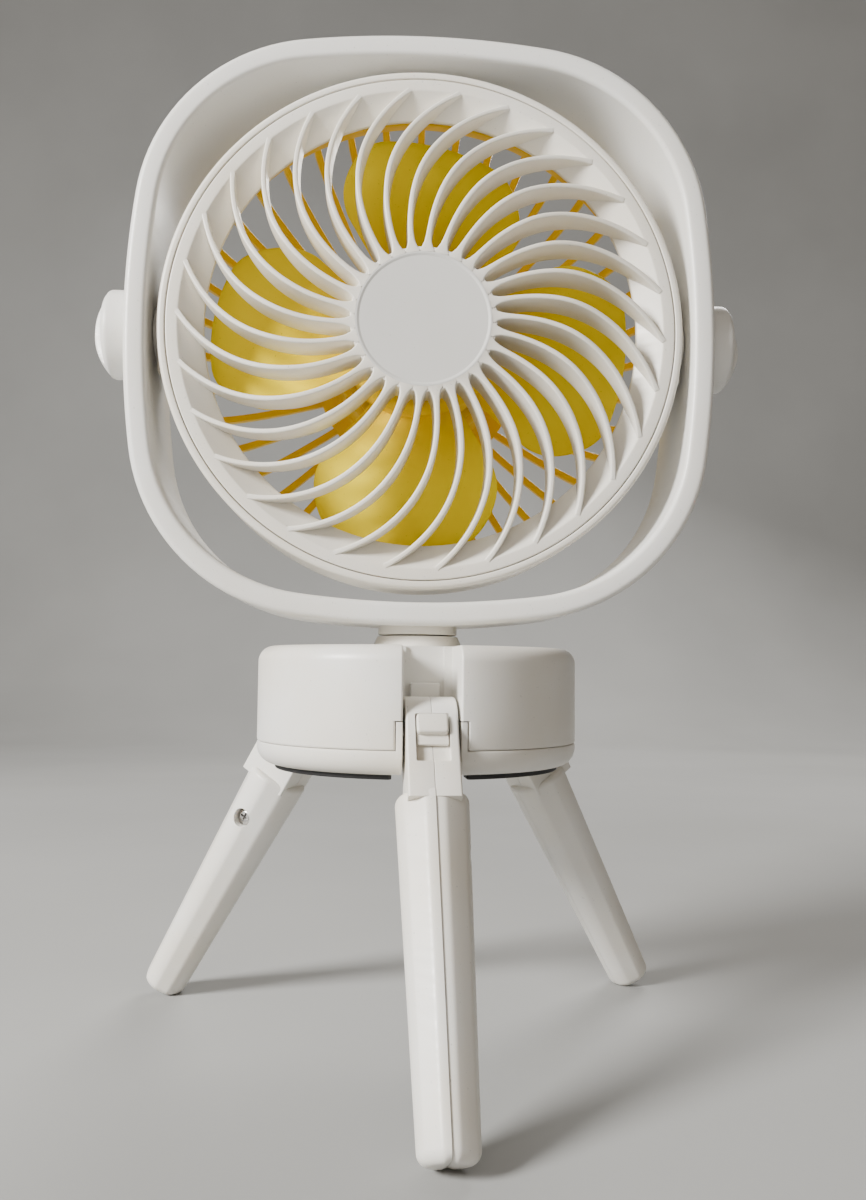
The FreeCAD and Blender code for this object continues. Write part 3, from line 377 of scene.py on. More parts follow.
WHITE = (0.77, 0.745, 0.685)
CREAM = (0.73, 0.685, 0.595)
COOL_WHITE, WARM_TINT = (0.77, 0.765, 0.74), (0.74, 0.72, 0.67)
BASE_WHITE = (0.78, 0.77, 0.735)
YELLOW, ORANGE_TINT = (0.88, 0.62, 0.02), (0.82, 0.54, 0.015)
LOOKS = {
    "yoke_white": plastic("yoke_white", COOL_WHITE, WARM_TINT, 0.34, 0.06),
    "head_white": plastic("head_white", WHITE, CREAM, 0.36, 0.08),
    "hub_grey": plastic("hub_grey", (0.64, 0.635, 0.61), (0.60, 0.59, 0.56), 0.42),
    "knob_white": plastic("knob_white", COOL_WHITE, WARM_TINT, 0.36, 0.06),
    "guard_yellow": plastic("guard_yellow", YELLOW, ORANGE_TINT, 0.40, 0.10, 0.25),
    "cover_yellow": plastic("cover_yellow", YELLOW, ORANGE_TINT, 0.36, 0.08, 0.35),
    "blade_yellow": blade_plastic("blade_yellow"),
    "neck_white": plastic("neck_white", WHITE, CREAM, 0.36, 0.06),
    "base_white": plastic("base_white", BASE_WHITE, CREAM, 0.35, 0.06),
    "leg_white": plastic("leg_white", BASE_WHITE, CREAM, 0.37, 0.08),
    "latch_white": plastic("latch_white", WHITE, CREAM, 0.33, 0.06),
    "button_white": plastic("button_white", (0.72, 0.715, 0.69), (0.68, 0.66, 0.61), 0.30, 0.06),
    "pad_black": rubber("pad_black", (0.010, 0.010, 0.011)),
    "screw_steel": metal("screw_steel", (0.52, 0.51, 0.50), 0.34),
    "washer_nylon": plastic("washer_nylon", (0.70, 0.69, 0.66), (0.64, 0.62, 0.58), 0.5),
    "bush_brass": metal("bush_brass", (0.72, 0.52, 0.22), 0.3),
    "motor_plastic": plastic("motor_plastic", (0.02, 0.02, 0.022), (0.03, 0.03, 0.03), 0.5),
    "bearing_steel": metal("bearing_steel", (0.62, 0.62, 0.64), 0.2),
    "core_steel": metal("core_steel", (0.30, 0.30, 0.32), 0.4, (1, 12, 1)),
    "coil_copper": metal("coil_copper", (0.66, 0.26, 0.10), 0.35, (1, 1, 8)),
    "magnet_dark": metal("magnet_dark", (0.10, 0.10, 0.11), 0.5),
    "board_green": plastic("board_green", (0.01, 0.10, 0.03), (0.012, 0.13, 0.04), 0.4),
    "cell_wrap": plastic("cell_wrap", (0.02, 0.09, 0.30), (0.02, 0.07, 0.25), 0.25),
    "port_steel": metal("port_steel", (0.58, 0.58, 0.60), 0.28),
    "light_lens": plastic("light_lens", (0.62, 0.70, 0.78), (0.55, 0.63, 0.72), 0.2, 0.3),
}
for node, obj in frame["nodes"].items():
    obj.data.materials.clear()
    obj.data.materials.append(LOOKS[SLOTS[node]])

# ---------------------------------------------------------------- yoke

YOKE_WIDTH, YOKE_HEIGHT, YOKE_SIDE, YOKE_CORNER = 155, 157, 250, 49.8
YOKE_WALL, YOKE_EDGE, YOKE_SPLIT = 5.9, 16.5, 14.2     # wall, rims and where the cover starts


def yoke_outline(inset, steps=22):
    """Four bulged sides and four large corners, eight tangent arcs in all."""
    side_x, top_y = YOKE_WIDTH / 2 - YOKE_SIDE, YOKE_HEIGHT / 2 - YOKE_SIDE
    half = math.hypot(side_x, top_y) / 2
    rise = math.sqrt((YOKE_SIDE - YOKE_CORNER) ** 2 - half ** 2)
    corner_x = side_x / 2 - rise * top_y / (2 * half)
    corner_y = top_y / 2 - rise * side_x / (2 * half)
    low = math.atan2(corner_y, corner_x - side_x)
    high = math.atan2(corner_y - top_y, corner_x)
    turn = math.pi
    arcs = [(side_x, 0, YOKE_SIDE, -low, low), (corner_x, corner_y, YOKE_CORNER, low, high),
            (0, top_y, YOKE_SIDE, high, turn - high),
            (-corner_x, corner_y, YOKE_CORNER, turn - high, turn - low),
            (-side_x, 0, YOKE_SIDE, turn - low, turn + low),
            (-corner_x, -corner_y, YOKE_CORNER, turn + low, turn + high),
            (0, -top_y, YOKE_SIDE, turn + high, 2 * turn - high),
            (corner_x, -corner_y, YOKE_CORNER, 2 * turn - high, 2 * turn - low)]
    outline = []
    for x, y, radius, start, stop in arcs:
        for k in range(steps):
            angle = start + (stop - start) * k / steps
            across, up = (radius - inset) * math.cos(angle), (radius - inset) * math.sin(angle)
            outline.append(Vector((x + across, y + up)))
    return outline


def yoke_band(section):
    """The yoke's outline swept through a section of (inset, depth) points."""
    rows = []
    for inset, depth in section:
        rows.append([Vector((p.x, depth, p.y)) for p in yoke_outline(inset)])
    return Surface().grid(rows, along=True)


STEP, SEAM = 0.1, 0.15                # the cover stands back a little and leaves a fine seam
FRONT_BAND = [(0, YOKE_SPLIT, 0.3), (0, -YOKE_EDGE, 1.7), (YOKE_WALL, -YOKE_EDGE, 1.4),
              (YOKE_WALL, YOKE_SPLIT, 0.3)]
BACK_BAND = [(STEP, YOKE_SPLIT + SEAM, 0.25), (YOKE_WALL - STEP, YOKE_SPLIT + SEAM, 0.25),
             (YOKE_WALL - STEP, YOKE_EDGE, 1.0), (STEP, YOKE_EDGE, 1.2)]
YOKE_WHITE = LOOKS["yoke_white"]
piece("yoke_ring", yoke_band(rounded(FRONT_BAND)), YOKE, YOKE_WHITE, "yoke", ["yoke_front_shell"])
piece("yoke_rear_cover", yoke_band(rounded(BACK_BAND)), YOKE, YOKE_WHITE, "yoke", ["yoke_back_cover"])

# ---------------------------------------------------------------- fan head

HEAD_WHITE = LOOKS["head_white"]
LIP_RADIUS, HEAD_RADIUS, HEAD_INSIDE = 67.06, 69.1, 66.25
HEAD_FRONT, HEAD_BACK, LIP_BACK = 15, -8, 11.9
housing = lathe(rounded([(LIP_RADIUS, HEAD_FRONT, 0.3), (HEAD_RADIUS, HEAD_FRONT, 1.1),
                         (HEAD_RADIUS, HEAD_BACK, 0.9), (HEAD_INSIDE, HEAD_BACK, 0.3),
                         (HEAD_INSIDE, LIP_BACK, 0.1), (LIP_RADIUS, LIP_BACK, 0.1)]), 180)
PAD_DEEP, PAD_TALL, PAD_ROOT, PAD_REACH = 9, 12.5, 66.4, 69.85
for side in (1, -1):
    pad = slab(box_outline(-PAD_DEEP, PAD_DEEP, -PAD_TALL, PAD_TALL, 1.6), PAD_ROOT, PAD_REACH, 0.2, 0.8)
    housing.merged(pad.placed(Matrix.Rotation(side * math.pi / 2, 4, "Y")))
piece("head_shell", housing, HEAD, HEAD_WHITE, "head", ["head_housing"])

VANE_COUNT = 30
VANE_PHASE = 2.4
VANE_FIRST, VANE_LAST, VANE_STEPS = 17.6, 64.0, 34
VANE_DRIFT, VANE_SWEEP = 1.5, 1.2       # degrees per 10 mm of radius, and per 10 mm squared
FRONT, BACK, KINK, RIM_FRONT = 21, 11, 40, 15.15
MOUTH, MOUTH_HEIGHT, RING_INNER, RING_OUTER = 57.5, 10.9, 63.8, 66.84


def vane_point(radius, offset=0):
    """A point on a vane's middle line, which curves clockwise as it goes out."""
    step = (radius - 20) / 10
    angle = math.radians(VANE_PHASE + VANE_DRIFT * step + VANE_SWEEP * step ** 2)
    return Vector((radius * math.sin(angle), radius * math.cos(angle), offset))


def vane():
    """Sections of one vane from the hub, where it thickens, to the ring; its top slopes past the kink."""
    rows = []
    for k in range(VANE_STEPS + 1):
        radius = blended(VANE_FIRST, VANE_LAST, k / VANE_STEPS)
        ahead = vane_point(radius + 0.1) - vane_point(radius - 0.1)
        across = Vector((ahead.y, -ahead.x, 0)).normalized()
        top = FRONT - (FRONT - RIM_FRONT) * max(radius - KINK, 0) / (RING_INNER - KINK)
        top -= 0.25 * math.exp(-((radius - KINK) / 2.5) ** 2)
        cone = MOUTH_HEIGHT + (radius - MOUTH) * (HEAD_FRONT - MOUTH_HEIGHT) / (RING_INNER - MOUTH)
        bottom = max(BACK, cone - 0.7)
        root = 2.0 * math.exp(-(radius - VANE_FIRST - 1) / 1.5)
        half_front, half_back = 0.64 + root / 2, 0.86 + root / 2
        corner = min(0.42, (top - bottom) * 0.4)
        section = rounded([(-half_back, bottom, corner * 0.5), (half_back, bottom, corner * 0.5),
                           (half_front, top, corner), (-half_front, top, corner)], 4)
        middle = vane_point(radius)
        rows.append([middle + across * p[0] + Vector((0, 0, p[1])) for p in section])
    return rows


RING_BACK = 12.2
guard = lathe(rounded([(RING_OUTER, HEAD_FRONT, 0.4), (RING_INNER, HEAD_FRONT, 1.0),
                       (MOUTH, MOUTH_HEIGHT, 0.5), (MOUTH, MOUTH_HEIGHT - 1.5, 0.3),
                       (RING_INNER - 0.2, RING_BACK, 0.3), (RING_OUTER, RING_BACK, 0.2)]), 180)
HUB_RADIUS, HUB_INSIDE, HUB_FRONT = 19, 17.2, 20.8
CUP_RADIUS, CUP_FLOOR, CUP_BACK, CUP_HOLE = 18.25, 19.2, 17.4, 2
guard.merged(lathe(rounded([(CUP_RADIUS, HUB_FRONT, 0.2), (HUB_RADIUS, HUB_FRONT, 0.3),
                            (HUB_RADIUS, BACK, 0.5), (HUB_INSIDE, BACK, 0.3), (HUB_INSIDE, CUP_BACK, 0.3),
                            (CUP_HOLE, CUP_BACK, 0.3), (CUP_HOLE, CUP_FLOOR, 0.3),
                            (CUP_RADIUS, CUP_FLOOR, 0.2)]), 120))
one_vane = vane()
for k in range(VANE_COUNT):
    turned = Matrix.Rotation(-2 * math.pi * k / VANE_COUNT, 4, "Z")
    guard.merged(Surface().capped([[turned @ p for p in row] for row in one_vane]))
piece("front_grille", guard, HEAD, HEAD_WHITE, "head", ["front_guard"])

CAP_RADIUS, CAP_FACE, CAP_FRONT, CAP_BACK = 18.1, 20.75, 21, 19.3
cap = rounded([(0, CAP_FACE, 0), (CAP_RADIUS - 1.5, CAP_FACE, 0.5), (CAP_RADIUS - 0.9, CAP_FRONT, 0.4),
               (CAP_RADIUS, CAP_FRONT, 0.45), (CAP_RADIUS, CAP_BACK, 0.2), (0, CAP_BACK, 0)])
piece("hub_disc", lathe(cap, 120, closed=False), HEAD, LOOKS["hub_grey"], "head", ["hub_cap"])

# ---------------------------------------------------------------- rear guard and motor cover

BAR_COUNT = 40
BAR_HALF, BAR_THICK = 1.0, 2.3
DOME_RADIUS, DOME_DEPTH, DOME_FRONT = 66, 30, -5
PLATE_RADIUS, GUARD_RIM, BAR_START = 30, 66.05, 65.8


def bar_rows(steps=22):
    """A bar that follows the elliptical dome from the ring at its mouth to the plate at its back."""
    start, stop = math.acos(BAR_START / DOME_RADIUS), math.acos((PLATE_RADIUS - 0.6) / DOME_RADIUS)
    section = rounded([(-BAR_HALF, 0, 0.5), (BAR_HALF, 0, 0.5), (BAR_HALF, BAR_THICK, 0.4),
                       (-BAR_HALF, BAR_THICK, 0.4)])
    rows = []
    for k in range(steps + 1):
        angle = blended(start, stop, k / steps)
        outward = Vector((math.cos(angle) / DOME_RADIUS, -math.sin(angle) / DOME_DEPTH)).normalized()
        radius, height = DOME_RADIUS * math.cos(angle), DOME_FRONT - DOME_DEPTH * math.sin(angle)
        rows.append([Vector((min(radius + outward.x * deep, GUARD_RIM), side, height + outward.y * deep))
                     for side, deep in section])
    return rows


RIM_INNER, RIM_OUTER, RIM_BACK = 64.9, 66.1, -8.4
rear = lathe(rounded([(RIM_INNER, DOME_FRONT, 0.35), (RIM_OUTER, DOME_FRONT, 0.35),
                      (RIM_OUTER, RIM_BACK, 0.35), (RIM_INNER, RIM_BACK, 0.35)]), 240)
CUP_OUTSIDE, CUP_INSIDE, CUP_FRONT, CUP_THICK = 24, 22, -14, 2.5
PLATE_FRONT, PLATE_BACK, PLATE_EDGE = -31.7, -34, PLATE_RADIUS + 0.2
cup = rounded([(0, CUP_FRONT, 0), (CUP_OUTSIDE, CUP_FRONT, 0.8), (CUP_OUTSIDE, PLATE_FRONT, 1.6),
               (PLATE_EDGE, PLATE_FRONT, 0.5), (PLATE_EDGE, PLATE_BACK, 0.9), (CUP_INSIDE, PLATE_BACK, 0.5),
               (CUP_INSIDE, CUP_FRONT - CUP_THICK, 0.5), (0, CUP_FRONT - CUP_THICK, 0)])
rear.merged(lathe(cup, 144, closed=False))
one_bar = bar_rows()
for k in range(BAR_COUNT):
    turned = Matrix.Rotation(2 * math.pi * k / BAR_COUNT, 4, "Z")
    rear.merged(Surface().capped([[turned @ p for p in row] for row in one_bar]))
piece("rear_grille", rear, HEAD, LOOKS["guard_yellow"], "head", ["rear_guard"])

LID_RADIUS, LID_INSIDE, LID_BACK, LID_FRONT, LID_FLOOR = 21.7, 20.1, -36.6, -31.5, -34.8
DIMPLE, DIMPLE_DEEP = 9.3, 0.4
lid = rounded([(0, LID_BACK + DIMPLE_DEEP, 0), (DIMPLE - 0.7, LID_BACK + DIMPLE_DEEP, 0.4),
               (DIMPLE, LID_BACK, 0.4), (LID_RADIUS - 1.4, LID_BACK, 1.2),
               (LID_RADIUS, LID_BACK + 1.4, 0.6), (LID_RADIUS, LID_FRONT, 0.3),
               (LID_INSIDE, LID_FRONT, 0.2), (LID_INSIDE, LID_FLOOR, 0.4), (0, LID_FLOOR, 0)])
piece("motor_lid", lathe(lid, 144, closed=False), HEAD, LOOKS["cover_yellow"], "head", ["motor_cover"])

# ---------------------------------------------------------------- impeller

BLADE_TURNS = (5, 95, 186, 277)
BLADE_TIP, BLADE_ROOT, BLADE_PLANE = 57.5, 19.6, -3
BLADE_HALF_ANGLE, BLADE_SPREAD, SPREAD_REACH = 28.5, 7.5, 19       # wider towards the hub, in degrees
BLADE_CORNER, CORNER_START = 13, 0.55
BLADE_PITCH, PITCH_GAIN, PITCH_REACH = 15, 0.25, 40               # steeper inside this radius
BLADE_EDGE, BLADE_HALF = 0.22, 0.75                               # half thickness at the rim and inside


def blade_width(radius):
    """Half the angle that a blade spans at a radius, in radians."""
    return math.radians(BLADE_HALF_ANGLE + BLADE_SPREAD * smooth(BLADE_TIP - radius, 0, SPREAD_REACH))


def blade_rows(across_steps=36, out_steps=26):
    """Sections of one blade from edge to edge; each runs out along the front and home along the back."""
    rows = []
    for i in range(across_steps + 1):
        v = -math.cos(math.pi * i / across_steps)
        shoulder = max(abs(v) - CORNER_START, 0) / (1 - CORNER_START)
        reach = BLADE_TIP - BLADE_CORNER * (1 - math.sqrt(max(1 - shoulder ** 2, 0)))
        front, back = [], []
        for j in range(out_steps + 1):
            u = 1 - (1 - j / out_steps) ** 1.4
            radius = blended(BLADE_ROOT, reach, u)
            angle = v * blade_width(radius)
            x, y = radius * math.cos(angle), radius * math.sin(angle)
            pitch = math.radians(BLADE_PITCH + PITCH_GAIN * max(PITCH_REACH - radius, 0))
            height = BLADE_PLANE + y * math.tan(pitch) - 0.6 * v * v
            rim = min((1 - abs(v)) * 12, (1 - u) * 20)
            half = blended(BLADE_EDGE, BLADE_HALF, math.sqrt(min(rim, 1)))
            front.append(Vector((x, y, height + half)))
            back.append(Vector((x, y, height - half)))
        rows.append(front + back[::-1])
    return rows


SPINNER, SPINNER_INSIDE, SPINNER_FRONT, SPINNER_BACK, SPINNER_FLOOR = 20.5, 18.9, 4, -9.5, 1
spinner = rounded([(0, SPINNER_FRONT, 0), (18.2, SPINNER_FRONT, 2.6), (SPINNER, 1.2, 1.2),
                   (SPINNER, SPINNER_BACK, 0.5), (SPINNER_INSIDE, SPINNER_BACK, 0.4),
                   (SPINNER_INSIDE, SPINNER_FLOOR, 0.8), (0, SPINNER_FLOOR, 0)])
impeller = lathe(spinner, 120, closed=False)
petal = blade_rows()
for turn in BLADE_TURNS:
    turned = Matrix.Rotation(math.radians(90 - turn), 4, "Z")
    impeller.merged(Surface().capped([[turned @ p for p in row] for row in petal]))
piece("impeller", impeller, HEAD, LOOKS["blade_yellow"], "rotor", ["fan_impeller"], 50)

# ---------------------------------------------------------------- tilt knobs

KNOB_RADIUS, KNOB_HEIGHT, KNOB_BASE = 11.9, 10, 77.9
KNOB_FACE, KNOB_DROP, KNOB_SWELL = 11.2, 4.6, 2.6    # reach of the domed face, and how far it falls
SCOOP_FLOOR, SCOOP_EDGES, SCOOP_REACH = 4.2, (2.7, 4.0), (9.6, 10.6)


def knob(steps=46, count=144):
    """A domed disc with a finger scoop on both sides, so that a bar is left to grip."""
    rows = []
    for i in range(steps + 1):
        radius = KNOB_FACE * i / steps
        row = []
        for k in range(count):
            angle = 2 * math.pi * k / count
            x, y = radius * math.cos(angle), radius * math.sin(angle)
            dome = KNOB_HEIGHT - KNOB_DROP * (radius / KNOB_RADIUS) ** KNOB_SWELL
            scoop = smooth(abs(x), *SCOOP_EDGES) * (1 - smooth(radius, *SCOOP_REACH))
            row.append(Vector((x, y, blended(dome, SCOOP_FLOOR + 0.012 * x * x, scoop))))
        rows.append(row)
    edge = rows[-1][0].z
    for inset, height in ((0.25, edge - 0.35), (0.05, edge - 0.9), (0, edge - 1.6), (0, 0.4), (0.35, 0)):
        rows.append([on_circle(KNOB_RADIUS - inset, 2 * math.pi * k / count, height) for k in range(count)])
    surface = Surface().grid(rows)
    surface.faces.append(list(range(len(surface.points) - count, len(surface.points))))
    return surface


for side, sign, twist in (("left", -1, 8), ("right", 1, -24)):
    place = (YOKE @ Matrix.Rotation(sign * math.pi / 2, 4, "Y") @ Matrix.Translation((0, 0, KNOB_BASE))
             @ Matrix.Rotation(math.radians(90 + twist), 4, "Z"))
    node = "tilt_knob_" + side
    piece("knob_" + side, knob(), place, LOOKS["knob_white"], "head", [node], 40)

# ---------------------------------------------------------------- swivel neck

BOLT_BORE, NECK_RADIUS, COLLAR_LOW, COLLAR_HIGH = 2.6, 10.6, 104.85, 107.4
collar = rounded([(BOLT_BORE, COLLAR_LOW, 0.1), (NECK_RADIUS, COLLAR_LOW, 0.35),
                  (NECK_RADIUS, COLLAR_HIGH, 0.2), (BOLT_BORE, COLLAR_HIGH, 0.1)])
piece("neck_collar", lathe(collar), UPRIGHT, LOOKS["neck_white"], "yoke", ["swivel_collar"])
FLANGE_BORE, FLANGE_STEM, FLANGE_RADIUS = 2.7, 7.9, 12.1
FLANGE_LOW, FLANGE_SEAT, FLANGE_TOP = 98, 101.55, 104.5
flange = rounded([(FLANGE_BORE, FLANGE_LOW, 0.1), (FLANGE_STEM, FLANGE_LOW, 0.2),
                  (FLANGE_STEM, FLANGE_SEAT, 0.1), (FLANGE_RADIUS, FLANGE_SEAT, 0.3),
                  (FLANGE_RADIUS - 0.2, FLANGE_SEAT + 0.55, 0.3), (NECK_RADIUS + 0.2, FLANGE_TOP, 0.4),
                  (FLANGE_BORE, FLANGE_TOP, 0.1)])
piece("neck_flange", lathe(flange), UPRIGHT, LOOKS["neck_white"], "base", ["swivel_flange"])

# ---------------------------------------------------------------- drum

DRUM, DRUM_TOP, DRUM_BOTTOM = 42.3, 101.5, 71
SLOT, SLOT_BACK = 6.8, 22
GUIDE_HALF, GUIDE_THICK = 4.8, 0.9    # half the way between the guide ribs, and their thickness
EAR_REACH, EAR_NOTCH, EAR_TOP = 27.7, 8.5, 83.8
LEG_COUNT = len(LEG_TURNS)
ARC_EDGE = math.asin(9.4 / 37)       # where the round wall's arcs begin beside a slot


def drum_outline(radius, slot=SLOT, notch=SLOT, lip=0.5, arc_steps=26):
    """The drum from above: a circle with three leg slots, wider near the rim where the ears fit."""
    corners = []
    for k in range(LEG_COUNT):
        turn = Matrix.Rotation(2 * math.pi * k / LEG_COUNT - math.pi / 2, 2)
        rim = math.sqrt(radius ** 2 - notch ** 2)
        guide = SLOT_BACK + GUIDE_THICK
        half = [(rim, notch, lip), (EAR_REACH, notch, 0), (EAR_REACH, slot, 0), (guide, slot, 0),
                (guide, GUIDE_HALF, 0), (SLOT_BACK, GUIDE_HALF, 0)]
        for out, across, rounding in [(o, -a, r) for o, a, r in half] + half[::-1]:
            spot = turn @ Vector((out, across))
            corners.append((spot.x, spot.y, rounding))
        start = 2 * math.pi * k / LEG_COUNT - math.pi / 2 + ARC_EDGE
        stop = 2 * math.pi * (k + 1) / LEG_COUNT - math.pi / 2 - ARC_EDGE
        for step in range(arc_steps + 1):
            angle = blended(start, stop, step / arc_steps)
            corners.append((radius * math.cos(angle), radius * math.sin(angle), 0))
    return rounded(corners)


def drum_level(height, inset=0.0, notch=SLOT, slot=SLOT):
    """The drum's outline at a height, moved in by inset."""
    return [Vector((p.x, p.y, height)) for p in drum_outline(DRUM - inset, slot, notch)]


BASE_LOOK = LOOKS["base_white"]
TOP_ROUND, ROUND_STEPS, SLOT_FLARE = 4, 10, 0.35
SHELL_LOW = 77.0
shell_rows = [drum_level(SHELL_LOW, 0.3, EAR_NOTCH), drum_level(SHELL_LOW + 0.25, 0.05, EAR_NOTCH),
              drum_level(SHELL_LOW + 0.5, 0, EAR_NOTCH), drum_level(EAR_TOP, 0, EAR_NOTCH),
              drum_level(EAR_TOP)]
for k, (drop, inset) in enumerate(quarter_round(TOP_ROUND, ROUND_STEPS)):
    widened = SLOT + SLOT_FLARE * smooth(k, 7, 10)
    shell_rows.append(drum_level(DRUM_TOP - drop, inset, widened, widened))
shell = piece("drum_shell", Surface().capped(shell_rows), BASE, BASE_LOOK, "base", ["base_shell"])

EAR_INNER, EAR_OUTER, EAR_BACK, EAR_LOW, EAR_HIGH = 6.85, 8.32, -28, 75, 83.55


def ear_outline(side):
    """The hinge ear beside a leg slot; its sides are plain, so no inset is taken off."""
    corners = rounded([(side * EAR_INNER, EAR_BACK, 0.1), (side * EAR_OUTER, EAR_BACK, 0.1),
                       (side * EAR_OUTER, -41.45, 0.15), (side * EAR_INNER, -41.7, 0.15)])
    return lambda inset: corners


BOTTOM_ROUND = 4.6
COVER_HIGH = 76.85
STOP_HALF, STOP_FRONT, STOP_BACK, STOP_LOW, STOP_HIGH = 3.65, -23.6, -22.05, 72, 92.4
cover_rows = [drum_level(COVER_HIGH, 0.3), drum_level(COVER_HIGH - 0.25, 0.05),
              drum_level(COVER_HIGH - 0.55)]
for drop, inset in quarter_round(BOTTOM_ROUND, ROUND_STEPS):
    cover_rows.append(drum_level(DRUM_BOTTOM + drop * (1 + 0.2 / BOTTOM_ROUND), inset))
cover = Surface().capped(cover_rows)
stop_outline = box_outline(-STOP_HALF, STOP_HALF, STOP_FRONT, STOP_BACK, 0.35)
for k in range(LEG_COUNT):
    turned = Matrix.Rotation(2 * math.pi * k / LEG_COUNT, 4, "Z")
    for side in (1, -1):
        cover.merged(slab(ear_outline(side), EAR_LOW, EAR_HIGH, 0.05, 0.15).placed(turned))
    cover.merged(slab(stop_outline, STOP_LOW, STOP_HIGH, 0.2, 0.45).placed(turned))
piece("drum_cover", cover, BASE, BASE_LOOK, "base", ["base_cover"])

Y_OUT = BASE @ Matrix.Rotation(-math.pi / 2, 4, "X")      # local +Z leaves the drum at the back
PORT_HEIGHT, BUTTON_HEIGHT, LIGHT_REACH = 83.2, 93, 9
PORT_HALF, PORT_HALF_TALL, PORT_OPENING = 4.5, 1.6, 0.25
BUTTON, LIGHT = 4.0, 1.0


def back_hole(outline, low=37.0, high=48.0):
    """A straight cutter through the drum's rear wall."""
    return slab(outline, low, high, 0, 0, 1)


def oblong(half_wide, half_tall, height, radius):
    """The outline function of a box about the drum's middle, at a height."""
    return box_outline(-half_wide, half_wide, -height - half_tall, -height + half_tall, radius)


carved(shell, [back_hole(oblong(PORT_HALF + PORT_OPENING, PORT_HALF_TALL + PORT_OPENING, PORT_HEIGHT, 0.6)),
               back_hole(disc_outline(BUTTON + 0.35, (0, -BUTTON_HEIGHT))),
               back_hole(disc_outline(LIGHT + 0.15, (LIGHT_REACH, -BUTTON_HEIGHT), 24))], Y_OUT)

BUTTON_FACE, BUTTON_RIM, BUTTON_BACK = 42.7, 43.15, 38.7
button = lathe(rounded([(0, BUTTON_FACE, 0), (BUTTON - 1, BUTTON_FACE + 0.05, 0.6),
                        (BUTTON - 0.45, BUTTON_RIM, 0.3), (BUTTON, BUTTON_RIM, 0.3),
                        (BUTTON, BUTTON_BACK, 0.1), (0, BUTTON_BACK, 0)]), 72, closed=False)
BUTTON_PLACE = Y_OUT @ Matrix.Translation((0, -BUTTON_HEIGHT, 0))
piece("button", button, BUTTON_PLACE, LOOKS["button_white"], "button", ["power_button"])
LENS_TIP, LENS_BACK = 42.0, 37.2
lens = lathe([Vector((0, LENS_TIP)), Vector((0.5, LENS_TIP - 0.1)), Vector((0.85, LENS_TIP - 0.35)),
              Vector((LIGHT, LENS_TIP - 0.7)), Vector((LIGHT, LENS_BACK)), Vector((0, LENS_BACK))],
             32, closed=False)
LENS_PLACE = Y_OUT @ Matrix.Translation((LIGHT_REACH, -BUTTON_HEIGHT, 0))
piece("light_lens", lens, LENS_PLACE, LOOKS["light_lens"], "base", ["charge_light"])
socket = slab(oblong(PORT_HALF, PORT_HALF_TALL, 0, 0.9), 37.1, 41.55, 0.1, 0.1)
PORT_PLACE = Y_OUT @ Matrix.Translation((0, -PORT_HEIGHT, 0))
port = piece("port_shell", socket, PORT_PLACE, LOOKS["port_steel"], "base", ["usb_socket"])
carved(port, [slab(oblong(PORT_HALF - 0.3, PORT_HALF_TALL - 0.3, 0, 0.7), 38, 45, 0, 0, 1)], PORT_PLACE)

# ---------------------------------------------------------------- rubber pads

PAD_OUTER, PAD_INNER, PAD_GAP, PAD_THICK = 37.5, 31, 8.9, 1.2


def pad_outline(inset, steps=30):
    """A curved pad that fills the sector between two leg slots, from the first slot's turn to the next."""
    corners = []
    for radius, direction in ((PAD_OUTER - inset, 1), (PAD_INNER + inset, -1)):
        edge = math.asin((PAD_GAP + inset) / radius)
        start, stop = edge - math.pi / 2, math.pi / 6 - edge
        for k in range(steps + 1):
            angle = blended(start, stop, k / steps if direction > 0 else 1 - k / steps)
            rounding = 0.5 if k in (0, steps) else 0
            corners.append((radius * math.cos(angle), radius * math.sin(angle), rounding))
    return rounded(corners)


pads = Surface()
for k in range(LEG_COUNT):
    turned = Matrix.Rotation(2 * math.pi * k / LEG_COUNT, 4, "Z")
    pads.merged(slab(pad_outline, DRUM_BOTTOM - PAD_THICK, DRUM_BOTTOM, 0.35, 0.05).placed(turned))
piece("foot_pads", pads, BASE, LOOKS["pad_black"], "base", ["rubber_pads"])

# ---------------------------------------------------------------- legs

BARREL, NECK_HALF, NECK_FRONT, NECK_REAR = 8.6, 6.1, 8.3, 6.5
SHANK_TOP, SHANK_END, TOP_RADIUS, FOOT_RADIUS, FOOT_ROUND = 17.4, 91.9, 8.5, 6.15, 2.5
TOP_EDGE = 1.3
FLATS = ((0.955, math.radians(120)), (0.935, math.radians(36)))    # reach and direction of each flat side
SEAM_GAP, SEAM_DROP = 0.05, 0.34      # the right half sits a little lower along the seam
SCREW_AT = 31.4
SIDEWAYS = Matrix(((0, 0, 1, 0), (1, 0, 0, 0), (0, 1, 0, 0), (0, 0, 0, 1)))   # outline plane to Y and Z


def neck_outline(inset):
    """The leg's neck from the side: most of a circle about the pin, and straight down below it."""
    radius = BARREL - inset
    front = math.pi + math.asin(0.24)
    rear = -math.acos(min((NECK_REAR - inset) / radius, 1))
    outline = [Vector((radius * math.cos(a), radius * math.sin(a)))
               for a in [blended(front, rear, k / 40) for k in range(41)]]
    return outline + [Vector((NECK_REAR - inset, -20)), Vector((inset - NECK_FRONT, -20))]


